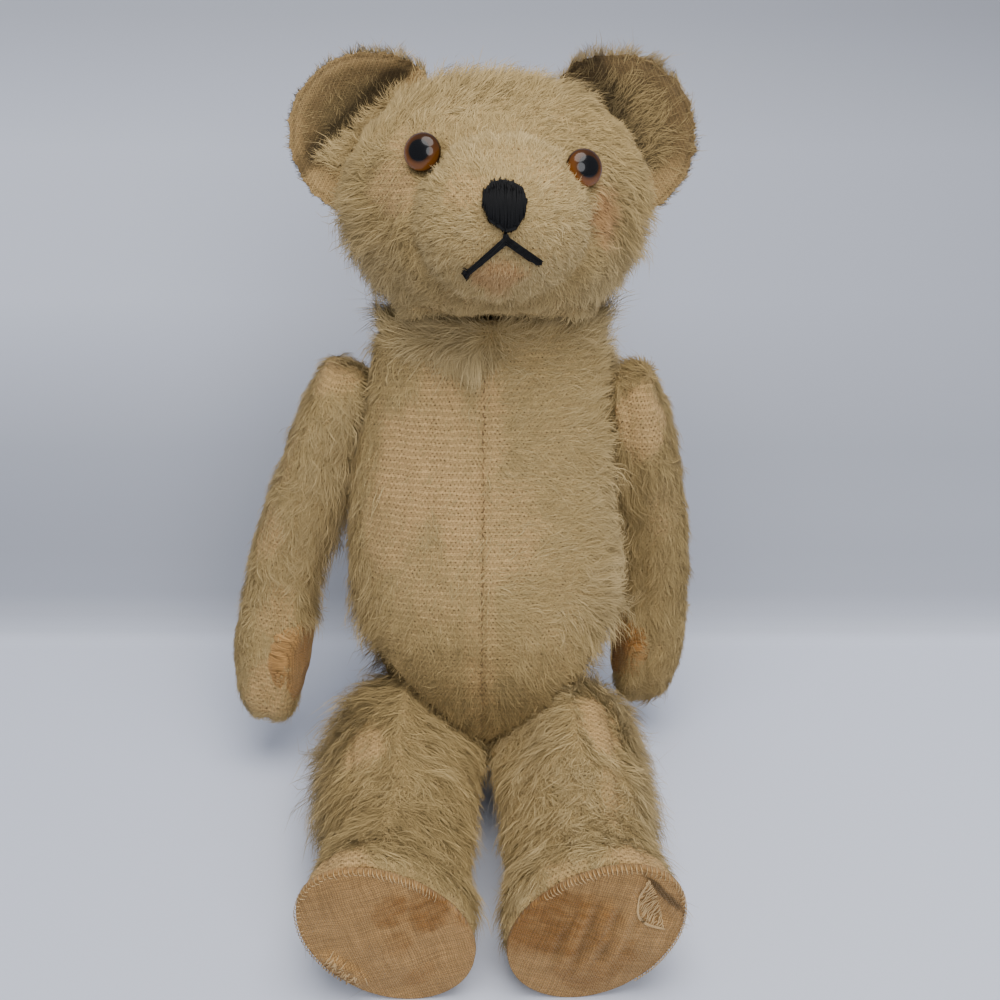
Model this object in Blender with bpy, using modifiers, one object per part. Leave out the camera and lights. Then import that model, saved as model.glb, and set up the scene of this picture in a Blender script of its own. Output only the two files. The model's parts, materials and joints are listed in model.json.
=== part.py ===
"""A fully jointed mohair teddy bear, sitting.

Sewn plush covers over firm stuffing. The head, arms and legs each turn on a disc joint: two fibreboard
discs and two washers, pressed together by a cotter pin. The bear faces -Y, and its own left is +X.
The origin is the middle of the seat, the flat underside of the body. Metres, +Z up.
"""
import math

import bmesh
import bpy
from mathutils import Matrix, Vector

MM = 0.001

# Driving dimensions
LEAN = math.radians(15)        # how far the body leans back
BODY_BASE = Vector((0, -33, -5)) * MM
NECK_PLACE = Vector((4, 2, 214)) * MM        # of the joint, in the body's frame
SHOULDER_PLACE = Vector((53, 0, 171)) * MM
HIP_PLACE = Vector((15, -37, 49)) * MM       # the left one's, in the bear's frame
SHOULDER_RISE = {1: math.radians(2), -1: math.radians(13)}    # how far each shoulder's axis points up
ARM_SWING = {1: math.radians(8), -1: math.radians(-4)}        # how far back each arm hangs
HIP_FALL = math.radians(50)                                   # how far each hip's axis points down
SPLAY = {1: math.radians(2), -1: math.radians(-1)}            # how far out each leg points
COVER = 3.0 * MM               # mohair cloth with its pile pressed down
GAP = 0.3 * MM                 # between pieces that touch
STUFFING_INSET = COVER + 2.2 * MM
BODY_SIDES, LIMB_SIDES = 12, 8  # corners of a cage's ring
HIDDEN_DETAIL = 0.45           # share of the form's faces that linings and stuffing keep
FAR = 150 * MM                 # past the end of any piece

# Shapes, in millimetres. Body: height in front and behind, half width, front, back.
BODY_FORM = (
    (4, 2, 10, -22, 35), (10, 1, 22, -12, 41), (22, 8, 35, 10, 44), (38, 26, 45, 33, 46), (60, 52, 53, 45, 46),
    (86, 84, 59, 48, 46), (114, 114, 61, 48, 45), (142, 142, 61, 45, 44), (172, 172, 59, 41, 42),
    (196, 196, 55, 37, 39), (212, 212, 49, 32, 34), (222, 222, 36, 24, 26), (227, 227, 16, 12, 14))
# Arm: height above the shoulder, inner half, outer half, front, back, shift forward, bow outward.
ARM_FORM = (
    (23, 11, 5, 11, 11, 0, 0), (17, 21, 7, 19, 19, 0, 0), (0, 24, 10, 25, 24, 0, 0), (-28, 18, 14, 21, 21, 1, 2),
    (-58, 15, 15, 18, 18, 3, 5), (-88, 14, 15, 17, 17, 7, 5), (-114, 15, 14, 17, 17, 11, 4),
    (-132, 12, 12, 14, 14, 13, 2), (-142, 6, 6, 7, 7, 13, 1))
ARM_MIDDLE = 14                # from the joint's plane to the middle of the arm
# Leg: distance forward of the hip, inner half, outer half, up, down.
LEG_FORM = (
    (-28, 14, 10, 14, 13), (-21, 30, 22, 27, 24), (0, 41, 31, 34, 29), (28, 33, 32, 34, 29),
    (54, 28, 30, 32, 27), (78, 26, 28, 30, 27), (95, 25, 28, 35, 29), (108, 26, 29, 42, 33),
    (120, 20, 23, 36, 28))
LEG_MIDDLE = 27
SOLE = 113 * MM                # from the hip to the sole
PAD_THICK = 2.6 * MM
PAW_PAD_MIDDLE = (4, -13, -112)
PAW_PAD_HALF = (10 * MM, 10.5 * MM, 21 * MM)
THIGH_ROOM_BELOW = 36 * MM     # how far below and behind the hip's axis the body makes room for the thigh
THIGH_ROOM_BEHIND = 34 * MM

HEAD_CENTRE = Vector((4, -6, 259)) * MM     # in the body's frame
HEAD_TURN = math.radians(3)
HEAD_HALF = Vector((62, 51, 47))            # half width, half depth, half height above the centre
HEAD_UNDER = 58                             # half height below it
HEAD_RADIUS = 55 * MM                       # of its front, roughly
HEAD_SQUARE = 2.3                           # 2 would make a plain egg
MUZZLE_TILT = math.radians(8)
MUZZLE_LENGTH, MUZZLE_ANGLE, MUZZLE_BLEND = 26, 0.6, 0.12

EAR_HALF_CHORD, EAR_HEIGHT, EAR_ROOT, EAR_HALF_THICK = 34, 39, 20, 2.7
EAR_CUP, EAR_FORWARD = 12, 3                # how far it is hollowed, and set forward
EAR_MIDDLE = Vector((47, 5, 24))            # of its seam
EAR_TILT = math.radians(62)                 # of the seam, from level
EAR_LEAN_BACK = 0.12

EYE_RADIUS, EYE_HEIGHT, PUPIL_RADIUS = 7.0 * MM, 4.4 * MM, 4.0 * MM
EYE_PLACE = {1: (29, 11), -1: (-27.5, 16.2)}  # across and up: the right one was set a little higher
EYE_LOOK = Vector((0.35, -1, 0.12))         # the left one's
EYE_DEPTH = 1.6 * MM                        # of its back under the pile
PUPIL_DEPTH = 0.8 * MM
DOME_TURNS, PUPIL_TURNS = (15, 32, 49), (66, 78)   # degrees around the glass, from its rim
SHANK_RADIUS, SHANK_LOOP, SHANK_REACH = 0.5 * MM, 2.0 * MM, 8.5 * MM
SOCKET_RADIUS, SOCKET_DEPTH = 3.2 * MM, 12 * MM

# Stitched nose and mouth, seen from the front of the head: across and up.
NOSE_OUTLINE = ((0, -13.6), (-5.5, -10.1), (-8, -4.6), (-8, -0.1), (-5, 3.4), (-1, 4.2), (2.6, 3.4), (6, 1.4),
                (7.2, -3.1), (6.2, -8.6), (3.6, -12.6))
MOUTH_OUTLINE = ((-0.8, -14.2), (-1, -15.5), (-13.5, -26.7), (-15, -26.5), (-13.4, -29.9), (-12.4, -28.3),
                 (0.3, -17.9), (10.8, -24.7), (12.8, -24.9), (13, -23.3), (11.6, -22.3), (1.2, -15.3),
                 (0.8, -14.2))
NOSE_THICK, MOUTH_THICK = 1.8 * MM, 1.4 * MM

# Joint hardware
DISC_RADIUS = {"neck": 20 * MM, "shoulder": 10 * MM, "hip": 10.5 * MM}
DISC_THICK, WASHER_THICK = 2.6 * MM, 1.0 * MM
WASHER_RADIUS = 6.5 * MM
HOLE_RADIUS = 2.3 * MM
WIRE_RADIUS = 0.8 * MM
WIRE_SPREAD = 0.95 * MM        # each leg of the pin, off its axis
PIN_EYE_RADIUS, PIN_CURL_RADIUS, PIN_TAIL = 2.4 * MM, 2.0 * MM, 3.0 * MM
WASHER_FIT = 0.1 * MM          # its hole is this much narrower than the disc's
PIN_WELL = 15.5 * MM           # hollow in the stuffing, from the joint's plane

# Steps around a full turn
OUTLINE_STEPS, DISC_STEPS, HOLE_STEPS, EYE_STEPS = 20, 16, 12, 20
HEAD_STEPS, EAR_STEPS = (20, 14), (20, 8)      # around and from pole to pole

COLOURS = {                    # colour, roughness and metal
    "mohair": ((0.42, 0.31, 0.17), 0.95, 0.0), "stuffing": ((0.55, 0.42, 0.22), 1.0, 0.0),
    "foot_cloth": ((0.62, 0.38, 0.20), 0.9, 0.0), "paw_cloth": ((0.38, 0.22, 0.11), 0.9, 0.0),
    "black_thread": ((0.012, 0.012, 0.014), 0.6, 0.0), "amber_glass": ((0.45, 0.14, 0.02), 0.08, 0.0),
    "black_glass": ((0.01, 0.01, 0.012), 0.08, 0.0), "fibreboard": ((0.20, 0.12, 0.07), 0.9, 0.0),
    "steel": ((0.45, 0.45, 0.46), 0.35, 1.0)}


def start_scene():
    for obj in list(bpy.data.objects):
        bpy.data.objects.remove(obj)
    parts = bpy.data.collections.new("teddy_bear")
    cutters = bpy.data.collections.new("cutters")
    cutters.hide_render = True
    for collection in (parts, cutters):
        bpy.context.scene.collection.children.link(collection)
    return parts, cutters


PARTS, CUTTERS = start_scene()


def make_materials():
    made = {}
    for name, (colour, roughness, metallic) in COLOURS.items():
        material = bpy.data.materials.new(name)
        material.use_nodes = True
        shader = material.node_tree.nodes["Principled BSDF"]
        shader.inputs["Base Color"].default_value = (*colour, 1)
        shader.inputs["Roughness"].default_value = roughness
        shader.inputs["Metallic"].default_value = metallic
        material.diffuse_color = (*colour, 1)
        made[name] = material
    return made


MATERIALS = make_materials()


# ---------------------------------------------------------------- helpers

def add_mesh(name, mesh, frame, material=None, collection=PARTS):
    """A mesh object whose own axes are those of frame, a matrix."""
    obj = bpy.data.objects.new(name, mesh)
    obj.matrix_world = frame
    collection.objects.link(obj)
    if material:
        mesh.materials.clear()
        mesh.materials.append(MATERIALS[material])
    if collection is CUTTERS:
        obj.hide_render = True
        obj.display_type = "WIRE"
    return obj


def mesh_from(bm, name, smooth=True):
    bmesh.ops.recalc_face_normals(bm, faces=bm.faces)
    mesh = bpy.data.meshes.new(name)
    bm.to_mesh(mesh)
    bm.free()
    if smooth:
        mesh.shade_smooth()
        mesh.set_sharp_from_angle(angle=math.radians(40))
    return mesh


def evaluated_mesh(obj):
    bpy.context.view_layer.update()
    graph = bpy.context.evaluated_depsgraph_get()
    return bpy.data.meshes.new_from_object(obj.evaluated_get(graph))


def boolean(obj, cutter, operation="DIFFERENCE"):
    modifier = obj.modifiers.new(operation.lower(), "BOOLEAN")
    modifier.operation = operation
    modifier.object = cutter
    modifier.solver = "EXACT"


def cage_form(rings):
    """A closed soft form through rings of points, its ends closed on a point, subdivided once."""
    bm = bmesh.new()
    loops = [[bm.verts.new(p) for p in ring] for ring in rings]
    for low, high in zip(loops, loops[1:]):
        for i in range(len(low)):
            j = (i + 1) % len(low)
            bm.faces.new((low[i], low[j], high[j], high[i]))
    bm.faces.new(loops[0])
    bm.faces.new(loops[-1])
    bmesh.ops.poke(bm, faces=bm.faces[-2:])
    obj = add_mesh("cage", mesh_from(bm, "cage"), Matrix.Identity(4), collection=CUTTERS)
    subdivide = obj.modifiers.new("soften", "SUBSURF")
    subdivide.levels = subdivide.render_levels = 1
    mesh = evaluated_mesh(obj)
    bpy.data.objects.remove(obj)
    return mesh


def oval_ring(count, place):
    """The ring's corners, set out so that the subdivided form has the sizes given."""
    swell = 1 / math.cos(math.pi / count)
    return [Vector(place(swell * math.cos(turn), swell * math.sin(turn))) * MM
            for turn in (2 * math.pi * (i + 0.5) / count for i in range(count))]


def drawn_in(heights, inset):
    """Ring heights for a form that lies inset inside: they close up on the middle."""
    middle = (heights[0] + heights[-1]) / 2
    shrink = 1 - inset / MM / abs(heights[0] - middle)
    return [middle + (height - middle) * shrink for height in heights]


def press(mesh, frame, point, normal):
    """Flattens the form beyond a plane of the bear's frame, as a neighbour or the ground does."""
    inverse = frame.inverted()
    for vertex in mesh.vertices:
        place = frame @ vertex.co
        beyond = (place - point).dot(normal)
        if beyond > 0:
            vertex.co = inverse @ (place - normal * beyond)
    mesh.update()


def cylinder(radius, half_length, segments):
    """A cylinder along X, as far on each side of its frame."""
    bm = bmesh.new()
    bmesh.ops.create_cone(bm, cap_ends=True, segments=segments, radius1=radius, radius2=radius,
                          depth=2 * half_length, matrix=Matrix.Rotation(math.pi / 2, 4, "Y"))
    return mesh_from(bm, "cylinder")


def box_mesh(low, high):
    bm = bmesh.new()
    size = Vector(high) - Vector(low)
    middle = (Vector(high) + Vector(low)) / 2
    bmesh.ops.create_cube(bm, size=1, matrix=Matrix.Translation(middle) @ Matrix.Diagonal((*size, 1)))
    return mesh_from(bm, "box", smooth=False)


def wire(name, points, radius, frame, material):
    curve = bpy.data.curves.new(name, "CURVE")
    curve.dimensions = "3D"
    curve.bevel_depth = radius
    curve.bevel_resolution = 1
    curve.use_fill_caps = True
    spline = curve.splines.new("POLY")
    spline.points.add(len(points) - 1)
    for point, place in zip(spline.points, points):
        point.co = (*place, 1)
    obj = bpy.data.objects.new(name, curve)
    obj.matrix_world = frame
    PARTS.objects.link(obj)
    curve.materials.append(MATERIALS[material])


def turned(profile, steps):
    """A solid turned about X. profile is a list of (along X, radius); it closes on the axis or on itself."""
    bm = bmesh.new()
    points = [bm.verts.new((x, 0, r)) for x, r in profile]
    for first, second in zip(points, points[1:]):
        bm.edges.new((first, second))
    bmesh.ops.spin(bm, geom=bm.verts[:] + bm.edges[:], cent=(0, 0, 0), axis=(1, 0, 0), angle=2 * math.pi,
                   steps=steps)
    bmesh.ops.remove_doubles(bm, verts=bm.verts, dist=0.00001)
    return mesh_from(bm, "turned")


def joint_frame(origin, outward):
    """Its X is the joint's axis, pointing out of the body, and its Z is as near to upright as that allows."""
    x_axis = outward.normalized()
    z_axis = (Vector((0, 0, 1)) - x_axis * x_axis.z).normalized()
    y_axis = z_axis.cross(x_axis)
    rotation = Matrix((x_axis, y_axis, z_axis)).transposed().to_4x4()
    return Matrix.Translation(origin) @ rotation


def mirrored(frame):
    flip = Matrix.Diagonal((-1, 1, 1, 1))
    return flip @ frame @ flip


# ---------------------------------------------------------------- frames

BODY = Matrix.Translation(BODY_BASE) @ Matrix.Rotation(-LEAN, 4, "X")
BODY_TURN = BODY.to_3x3()
HEAD = BODY @ Matrix.Translation(HEAD_CENTRE) @ Matrix.Rotation(HEAD_TURN, 4, "Z")

NECK = BODY @ Matrix.Translation(NECK_PLACE) @ Matrix.Rotation(-math.pi / 2, 4, "Y")


def shoulder_frame(side):
    rise = SHOULDER_RISE[side]
    outward = BODY_TURN @ Vector((math.cos(rise), 0, math.sin(rise)))
    frame = joint_frame(BODY @ SHOULDER_PLACE, outward)
    frame = frame @ Matrix.Rotation(ARM_SWING[side], 4, "X")
    return frame if side > 0 else mirrored(frame)


def hip_frame(side):
    splay = SPLAY[side]
    outward = Vector((math.cos(HIP_FALL) * math.cos(splay), math.cos(HIP_FALL) * math.sin(splay),
                      -math.sin(HIP_FALL)))
    frame = joint_frame(HIP_PLACE, outward)
    return frame if side > 0 else mirrored(frame)


SIDES = {"left": 1, "right": -1}
SHOULDERS = {name: shoulder_frame(side) for name, side in SIDES.items()}
HIPS = {name: hip_frame(side) for name, side in SIDES.items()}


def axis_of(frame, side=1):
    """The way out of the body along a joint's axis."""
    return (frame.to_3x3() @ Vector((side, 0, 0))).normalized()


# ---------------------------------------------------------------- covers, stuffing and joints

JOINTS = {"neck": (NECK, 1, DISC_RADIUS["neck"])}
for side_name, side_sign in SIDES.items():
    JOINTS[side_name + "_shoulder"] = (SHOULDERS[side_name], side_sign, DISC_RADIUS["shoulder"])
    JOINTS[side_name + "_hip"] = (HIPS[side_name], side_sign, DISC_RADIUS["hip"])
REACH = COVER + DISC_THICK + WASHER_THICK + 4 * GAP    # from a joint's plane to the outside of its washer


def along(side, start, end):
    """start and end along a joint's X, in order, for a joint on that side of the bear."""
    return (side * start, side * end) if side > 0 else (side * end, side * start)


def open_for_pin(cover, stuffing, joint, half):
    """Holes the cover for the pin, and hollows the stuffing for the disc, washer and pin.
    half is 1 in the limb and -1 in the body."""
    frame, side, disc_radius = JOINTS[joint]
    way = side * half
    boolean(cover, add_mesh(joint + "_hole", cylinder(HOLE_RADIUS, PIN_WELL, HOLE_STEPS), frame,
                            collection=CUTTERS))
    disc_end = REACH + GAP
    wide, narrow = disc_radius + 2 * GAP, WASHER_RADIUS + 2 * GAP
    well = [(0, 0), (0, wide), (disc_end, wide), (disc_end, narrow), (PIN_WELL, narrow), (PIN_WELL, 0)]
    hollow = turned([(way * x, radius) for x, radius in well], DISC_STEPS)
    boolean(stuffing, add_mesh(joint + "_hollow", hollow, frame, collection=CUTTERS))


def ring_plate(name, radius, hole, start, end, frame, material, steps):
    profile = [(start, hole), (start, radius), (end, radius), (end, hole), (start, hole)]
    add_mesh(name, turned(profile, steps), frame, material)


def cotter_pin(name, frame, side):
    """One wire: a curled end inside the body, a leg, the eye inside the limb, the other leg and its curl."""
    leg_end = -(REACH + PIN_TAIL)
    curl = [(leg_end + PIN_CURL_RADIUS, WIRE_SPREAD + 2 * PIN_CURL_RADIUS)]
    for step in range(5):
        turn = math.pi * (1 - step / 4)
        curl.append((leg_end - PIN_CURL_RADIUS * math.sin(turn),
                     WIRE_SPREAD + PIN_CURL_RADIUS * (1 - math.cos(turn))))
    neck_turn = math.asin(WIRE_SPREAD / PIN_EYE_RADIUS)
    eye_middle = REACH + WIRE_RADIUS + GAP + PIN_EYE_RADIUS
    eye = []
    for step in range(9):
        turn = (math.pi - neck_turn) * (1 - step / 4)
        eye.append((eye_middle + PIN_EYE_RADIUS * math.cos(turn), PIN_EYE_RADIUS * math.sin(turn)))
    half = curl + eye
    path = half + [(x, -z) for x, z in reversed(curl)]
    wire(name, [Vector((side * x, 0, z)) for x, z in path], WIRE_RADIUS, frame, "steel")


def disc_joint(joint):
    frame, side, radius = JOINTS[joint]
    for half, place in ((1, "limb"), (-1, "body")):
        way = side * half
        disc_start = COVER + 2 * GAP
        washer_start = disc_start + DISC_THICK + GAP
        ring_plate(f"{joint}_disc_{place}", radius, HOLE_RADIUS,
                   *along(way, disc_start, disc_start + DISC_THICK), frame, "fibreboard", DISC_STEPS)
        ring_plate(f"{joint}_washer_{place}", WASHER_RADIUS, HOLE_RADIUS - WASHER_FIT,
                   *along(way, washer_start, washer_start + WASHER_THICK), frame, "steel", HOLE_STEPS)
    cotter_pin(joint + "_pin", frame, side)


def hidden_form(name, mesh, frame, material, collection):
    """A form that isn't seen, with fewer faces."""
    obj = add_mesh(name, mesh, frame, material, collection)
    thin = obj.modifiers.new("fewer_faces", "DECIMATE")
    thin.ratio = HIDDEN_DETAIL
    return obj


def cover_and_stuffing(name, make_form, frame, carve=None):
    """The sewn cover, a shell, and the stuffing that fills it. make_form gives the form at an inset,
    and carve cuts an object of that inset where its neighbours press in."""
    cover = add_mesh(name + "_cover", make_form(0), frame, "mohair")
    lining = hidden_form(name + "_lining", make_form(COVER), frame, None, CUTTERS)
    stuffing = hidden_form(name + "_stuffing", make_form(STUFFING_INSET), frame, "stuffing", PARTS)
    if carve:
        for obj, inset in ((cover, 0), (lining, COVER), (stuffing, STUFFING_INSET)):
            carve(obj, inset)
    boolean(cover, lining)
    return cover, stuffing


def press_joint(mesh, part_frame, joint, half, inset):
    """Flattens the body (half -1) or the limb (half 1) at a joint."""
    frame, side, _ = JOINTS[joint]
    outward = axis_of(frame, side) * half
    press(mesh, part_frame, frame.translation + outward * (GAP / 2 + inset), -outward)


def press_ground(mesh, part_frame, inset):
    press(mesh, part_frame, Vector((0, 0, inset)), Vector((0, 0, -1)))


# ---------------------------------------------------------------- body

def carve_thighs(obj, inset):
    """Makes room for each thigh and its swing. The seat, behind and below, is left full."""
    for name, side in SIDES.items():
        out = along(side, -(GAP / 2 + inset), FAR)
        room = box_mesh((out[0], -FAR, -(THIGH_ROOM_BELOW + inset)), (out[1], THIGH_ROOM_BEHIND + inset, FAR))
        boolean(obj, add_mesh(f"{obj.name}_{name}_thigh_room", room, HIPS[name], collection=CUTTERS))


def body_ring(low_front, low_back, half, front, back):
    """An oval that slopes from its height in front to its height behind."""
    def place(across, along):
        depth = (back - front) / 2 + (back + front) / 2 * along
        height = (low_back + low_front) / 2 + (low_back - low_front) / 2 * along
        return half * across, depth, height
    return oval_ring(BODY_SIDES, place)


def body_form(inset):
    trim = inset / MM
    in_front, behind = (drawn_in([row[end] for row in BODY_FORM], inset) for end in (0, 1))
    rings = [body_ring(low, high, half - trim, front - trim, back - trim)
             for low, high, (_, _, half, front, back) in zip(in_front, behind, BODY_FORM)]
    form = cage_form(rings)
    for joint in ("neck", "left_shoulder", "right_shoulder"):
        press_joint(form, BODY, joint, -1, inset)
    press_ground(form, BODY, inset)
    return form


def make_body():
    cover, stuffing = cover_and_stuffing("torso", body_form, BODY, carve_thighs)
    for joint in JOINTS:
        open_for_pin(cover, stuffing, joint, -1)


# ---------------------------------------------------------------- limbs

def limb_form(table, place, inset):
    """place gives a point of a ring from its height, its row of sizes and the way around."""
    trim = inset / MM
    rings = []
    for height, row in zip(drawn_in([row[0] for row in table], inset), table):
        sizes = [size - trim for size in row[1:5]]
        rings.append(oval_ring(LIMB_SIDES, lambda c, s: place(height, sizes, row[5:], c, s)))
    return cage_form(rings)


def arm_form(name, inset):
    side = SIDES[name]

    def place(height, sizes, shifts, across, along):
        inner, outer, front, back = sizes
        forward, bow = shifts
        return (side * (ARM_MIDDLE + bow + (outer if across > 0 else inner) * across),
                (back if along > 0 else front) * along - forward, height)
    form = limb_form(ARM_FORM, place, inset)
    press_joint(form, SHOULDERS[name], name + "_shoulder", 1, inset)
    return form


def make_arm(name):
    frame = SHOULDERS[name]
    cover, stuffing = cover_and_stuffing(name + "_arm", lambda inset: arm_form(name, inset), frame)
    open_for_pin(cover, stuffing, name + "_shoulder", 1)
    make_paw_pad(name, cover, frame)


def paw_outline(grow):
    """An oval prism through the palm side of the paw only."""
    bm = bmesh.new()
    bmesh.ops.create_cone(bm, cap_ends=True, segments=OUTLINE_STEPS, radius1=1, radius2=1, depth=2,
                          matrix=Matrix.Rotation(math.pi / 2, 4, "Y"))
    half = Vector([size + grow for size in PAW_PAD_HALF])
    bmesh.ops.transform(bm, matrix=Matrix.Diagonal((*half, 1)), verts=bm.verts)
    return mesh_from(bm, "paw_outline")


def make_paw_pad(name, cover, frame):
    place = frame @ Matrix.Translation(Vector((SIDES[name] * PAW_PAD_MIDDLE[0], *PAW_PAD_MIDDLE[1:])) * MM)
    pad = add_mesh(name + "_paw_pad", arm_form(name, 0), frame, "paw_cloth")
    boolean(pad, hidden_form(name + "_paw_lining", arm_form(name, COVER), frame, None, CUTTERS))
    boolean(pad, add_mesh(name + "_paw_outline", paw_outline(0), place, collection=CUTTERS), "INTERSECT")
    boolean(cover, add_mesh(name + "_paw_opening", paw_outline(GAP), place, collection=CUTTERS))


def leg_form(name, inset):
    side, frame = SIDES[name], HIPS[name]

    def place(forward, sizes, _, across, along):
        inner, outer, up, down = sizes
        return (side * (LEG_MIDDLE + (outer if across > 0 else inner) * across), -forward,
                (up if along > 0 else down) * along)
    form = limb_form(LEG_FORM, place, inset)
    press_joint(form, frame, name + "_hip", 1, inset)
    forward = frame.to_3x3() @ Vector((0, -1, 0))
    press(form, frame, frame.translation + forward * (SOLE - inset), forward)
    press_ground(form, frame, inset)
    return form


def make_leg(name):
    frame = HIPS[name]
    cover, stuffing = cover_and_stuffing(name + "_leg", lambda inset: leg_form(name, inset), frame)
    open_for_pin(cover, stuffing, name + "_hip", 1)
    make_foot_pad(name, cover, frame)


def make_foot_pad(name, cover, frame):
    """The sole is a flat piece of cloth set into the open end of the leg."""
    pad = add_mesh(name + "_foot_pad", leg_form(name, 0), frame, "foot_cloth")
    front = box_mesh((-FAR, -2 * SOLE, -FAR), (FAR, PAD_THICK - SOLE, FAR))
    boolean(pad, add_mesh(name + "_sole_slab", front, frame, collection=CUTTERS), "INTERSECT")
    opening = box_mesh((-FAR, -2 * SOLE, -FAR), (FAR, PAD_THICK + GAP - SOLE, FAR))
    boolean(cover, add_mesh(name + "_sole_opening", opening, frame, collection=CUTTERS))


# ---------------------------------------------------------------- head

def head_point(way, inset=0):
    """A point of the head's surface, in its own frame, in the direction way from its middle."""
    muzzle_way = Vector((0, -math.cos(MUZZLE_TILT), -math.sin(MUZZLE_TILT)))
    muzzle_angle = MUZZLE_ANGLE - inset / HEAD_RADIUS
    bulge = 1 / (1 + math.exp((way.angle(muzzle_way) - muzzle_angle) / MUZZLE_BLEND))
    half = Vector((HEAD_HALF.x, HEAD_HALF.y, HEAD_HALF.z if way.z > 0 else HEAD_UNDER)) * MM
    reach = sum(abs(part) ** HEAD_SQUARE for part in way) ** (-1 / HEAD_SQUARE)
    point = Vector([part * (size - inset) for part, size in zip(way, half)]) * reach
    return point + muzzle_way * MUZZLE_LENGTH * MM * bulge


def head_form(inset):
    bm = bmesh.new()
    around, down = HEAD_STEPS
    bmesh.ops.create_uvsphere(bm, u_segments=around, v_segments=down, radius=1,
                              matrix=Matrix.Rotation(math.pi / 2, 4, "X"))
    for vertex in bm.verts:
        vertex.co = head_point(vertex.co.normalized(), inset)
    mesh = mesh_from(bm, "head")
    press_joint(mesh, HEAD, "neck", 1, inset)
    return mesh


def make_ear(name):
    """A cupped half disc of two layers of cloth, sewn to the head along a bowed line."""
    side = SIDES[name]
    bm = bmesh.new()
    around, down = EAR_STEPS
    bmesh.ops.create_uvsphere(bm, u_segments=around, v_segments=down, radius=1,
                              matrix=Matrix.Rotation(math.pi / 2, 4, "X"))
    seam_way = Vector((math.cos(EAR_TILT), 0, -math.sin(EAR_TILT)))
    outward = Vector((math.sin(EAR_TILT), EAR_LEAN_BACK, math.cos(EAR_TILT)))
    for vertex in bm.verts:
        x, y, z = vertex.co
        thickness = math.copysign(math.sqrt(abs(y)), y) * EAR_HALF_THICK
        reach = z * (EAR_HEIGHT if z > 0 else EAR_ROOT)
        cup = EAR_CUP * (1 - x * x) - EAR_FORWARD
        place = EAR_MIDDLE + seam_way * x * EAR_HALF_CHORD + outward * reach + Vector((0, cup + thickness, 0))
        vertex.co = Vector((side * place.x, place.y, place.z)) * MM
    ear = add_mesh(name + "_ear", mesh_from(bm, name + "_ear"), HEAD, "mohair")
    boolean(ear, add_mesh(name + "_ear_seat", head_form(-GAP), HEAD, collection=CUTTERS))


def eye_frame(side):
    """The eye's X looks out of the head."""
    across, up = EYE_PLACE[side]
    way = Vector((across / HEAD_HALF.x, 0, up / HEAD_HALF.z))
    way.y = -math.sqrt(1 - way.length_squared)
    x_axis = Vector((side * EYE_LOOK.x, EYE_LOOK.y, EYE_LOOK.z)).normalized()
    z_axis = (Vector((0, 0, 1)) - x_axis * x_axis.z).normalized()
    rotation = Matrix((x_axis, z_axis.cross(x_axis), z_axis)).transposed().to_4x4()
    return HEAD @ Matrix.Translation(head_point(way)) @ rotation


def glass_arc(turns):
    """Points of the glass's outside, at degrees around from its rim."""
    return [(EYE_HEIGHT * math.sin(turn) - EYE_DEPTH, EYE_RADIUS * math.cos(turn))
            for turn in map(math.radians, turns)]


def make_eye_glass(name, frame):
    """An amber dome with a black pupil let into its top."""
    back = -EYE_DEPTH
    pupil_top = back + EYE_HEIGHT * math.sqrt(1 - (PUPIL_RADIUS / EYE_RADIUS) ** 2)
    floor = pupil_top - PUPIL_DEPTH
    dome = [(back, 0), (back, EYE_RADIUS)] + glass_arc(DOME_TURNS)
    dome += [(pupil_top, PUPIL_RADIUS + GAP), (floor, PUPIL_RADIUS + GAP), (floor, 0)]
    add_mesh(name + "_eye", turned(dome, EYE_STEPS), frame, "amber_glass")
    pupil = [(floor + GAP, 0), (floor + GAP, PUPIL_RADIUS), (pupil_top, PUPIL_RADIUS)]
    pupil += glass_arc(PUPIL_TURNS) + [(back + EYE_HEIGHT, 0)]
    add_mesh(name + "_eye_pupil", turned(pupil, EYE_STEPS), frame, "black_glass")


def make_eye_shank(name, frame):
    """The wire loop behind the glass, that the thread holds."""
    start = -EYE_DEPTH - GAP
    bend = [(-SHANK_REACH - SHANK_LOOP * math.sin(turn), SHANK_LOOP * math.cos(turn))
            for turn in (math.pi * step / 4 for step in range(5))]
    path = [(start, SHANK_LOOP)] + bend + [(start, -SHANK_LOOP)]
    wire(name + "_eye_shank", [Vector((x, 0, z)) for x, z in path], SHANK_RADIUS, frame, "steel")


def make_eye(name, cover, stuffing):
    frame = eye_frame(SIDES[name])
    make_eye_glass(name, frame)
    make_eye_shank(name, frame)
    wide, step = EYE_RADIUS + GAP, -EYE_DEPTH - GAP
    socket = [(-SOCKET_DEPTH, 0), (-SOCKET_DEPTH, SOCKET_RADIUS), (step, SOCKET_RADIUS), (step, wide),
              (EYE_HEIGHT, wide), (EYE_HEIGHT, 0)]
    seat = add_mesh(name + "_eye_seat", turned(socket, EYE_STEPS), frame, collection=CUTTERS)
    for piece in (cover, stuffing):
        boolean(piece, seat)


def stitched_patch(name, outline, thickness):
    """Satin stitches that lie on the muzzle: an outline seen from the front, as a skin of that thickness."""
    bm = bmesh.new()
    face = bm.faces.new([bm.verts.new((x * MM, -FAR, z * MM)) for x, z in outline])
    made = bmesh.ops.extrude_face_region(bm, geom=[face])["geom"]
    moved = [item for item in made if isinstance(item, bmesh.types.BMVert)]
    bmesh.ops.translate(bm, verts=moved, vec=(0, FAR, 0))
    patch = add_mesh(name, mesh_from(bm, name), HEAD, "black_thread")
    outside = add_mesh(name + "_outside", head_form(-thickness), HEAD, collection=CUTTERS)
    boolean(patch, outside, "INTERSECT")
    boolean(patch, add_mesh(name + "_inside", head_form(-GAP), HEAD, collection=CUTTERS))


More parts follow.
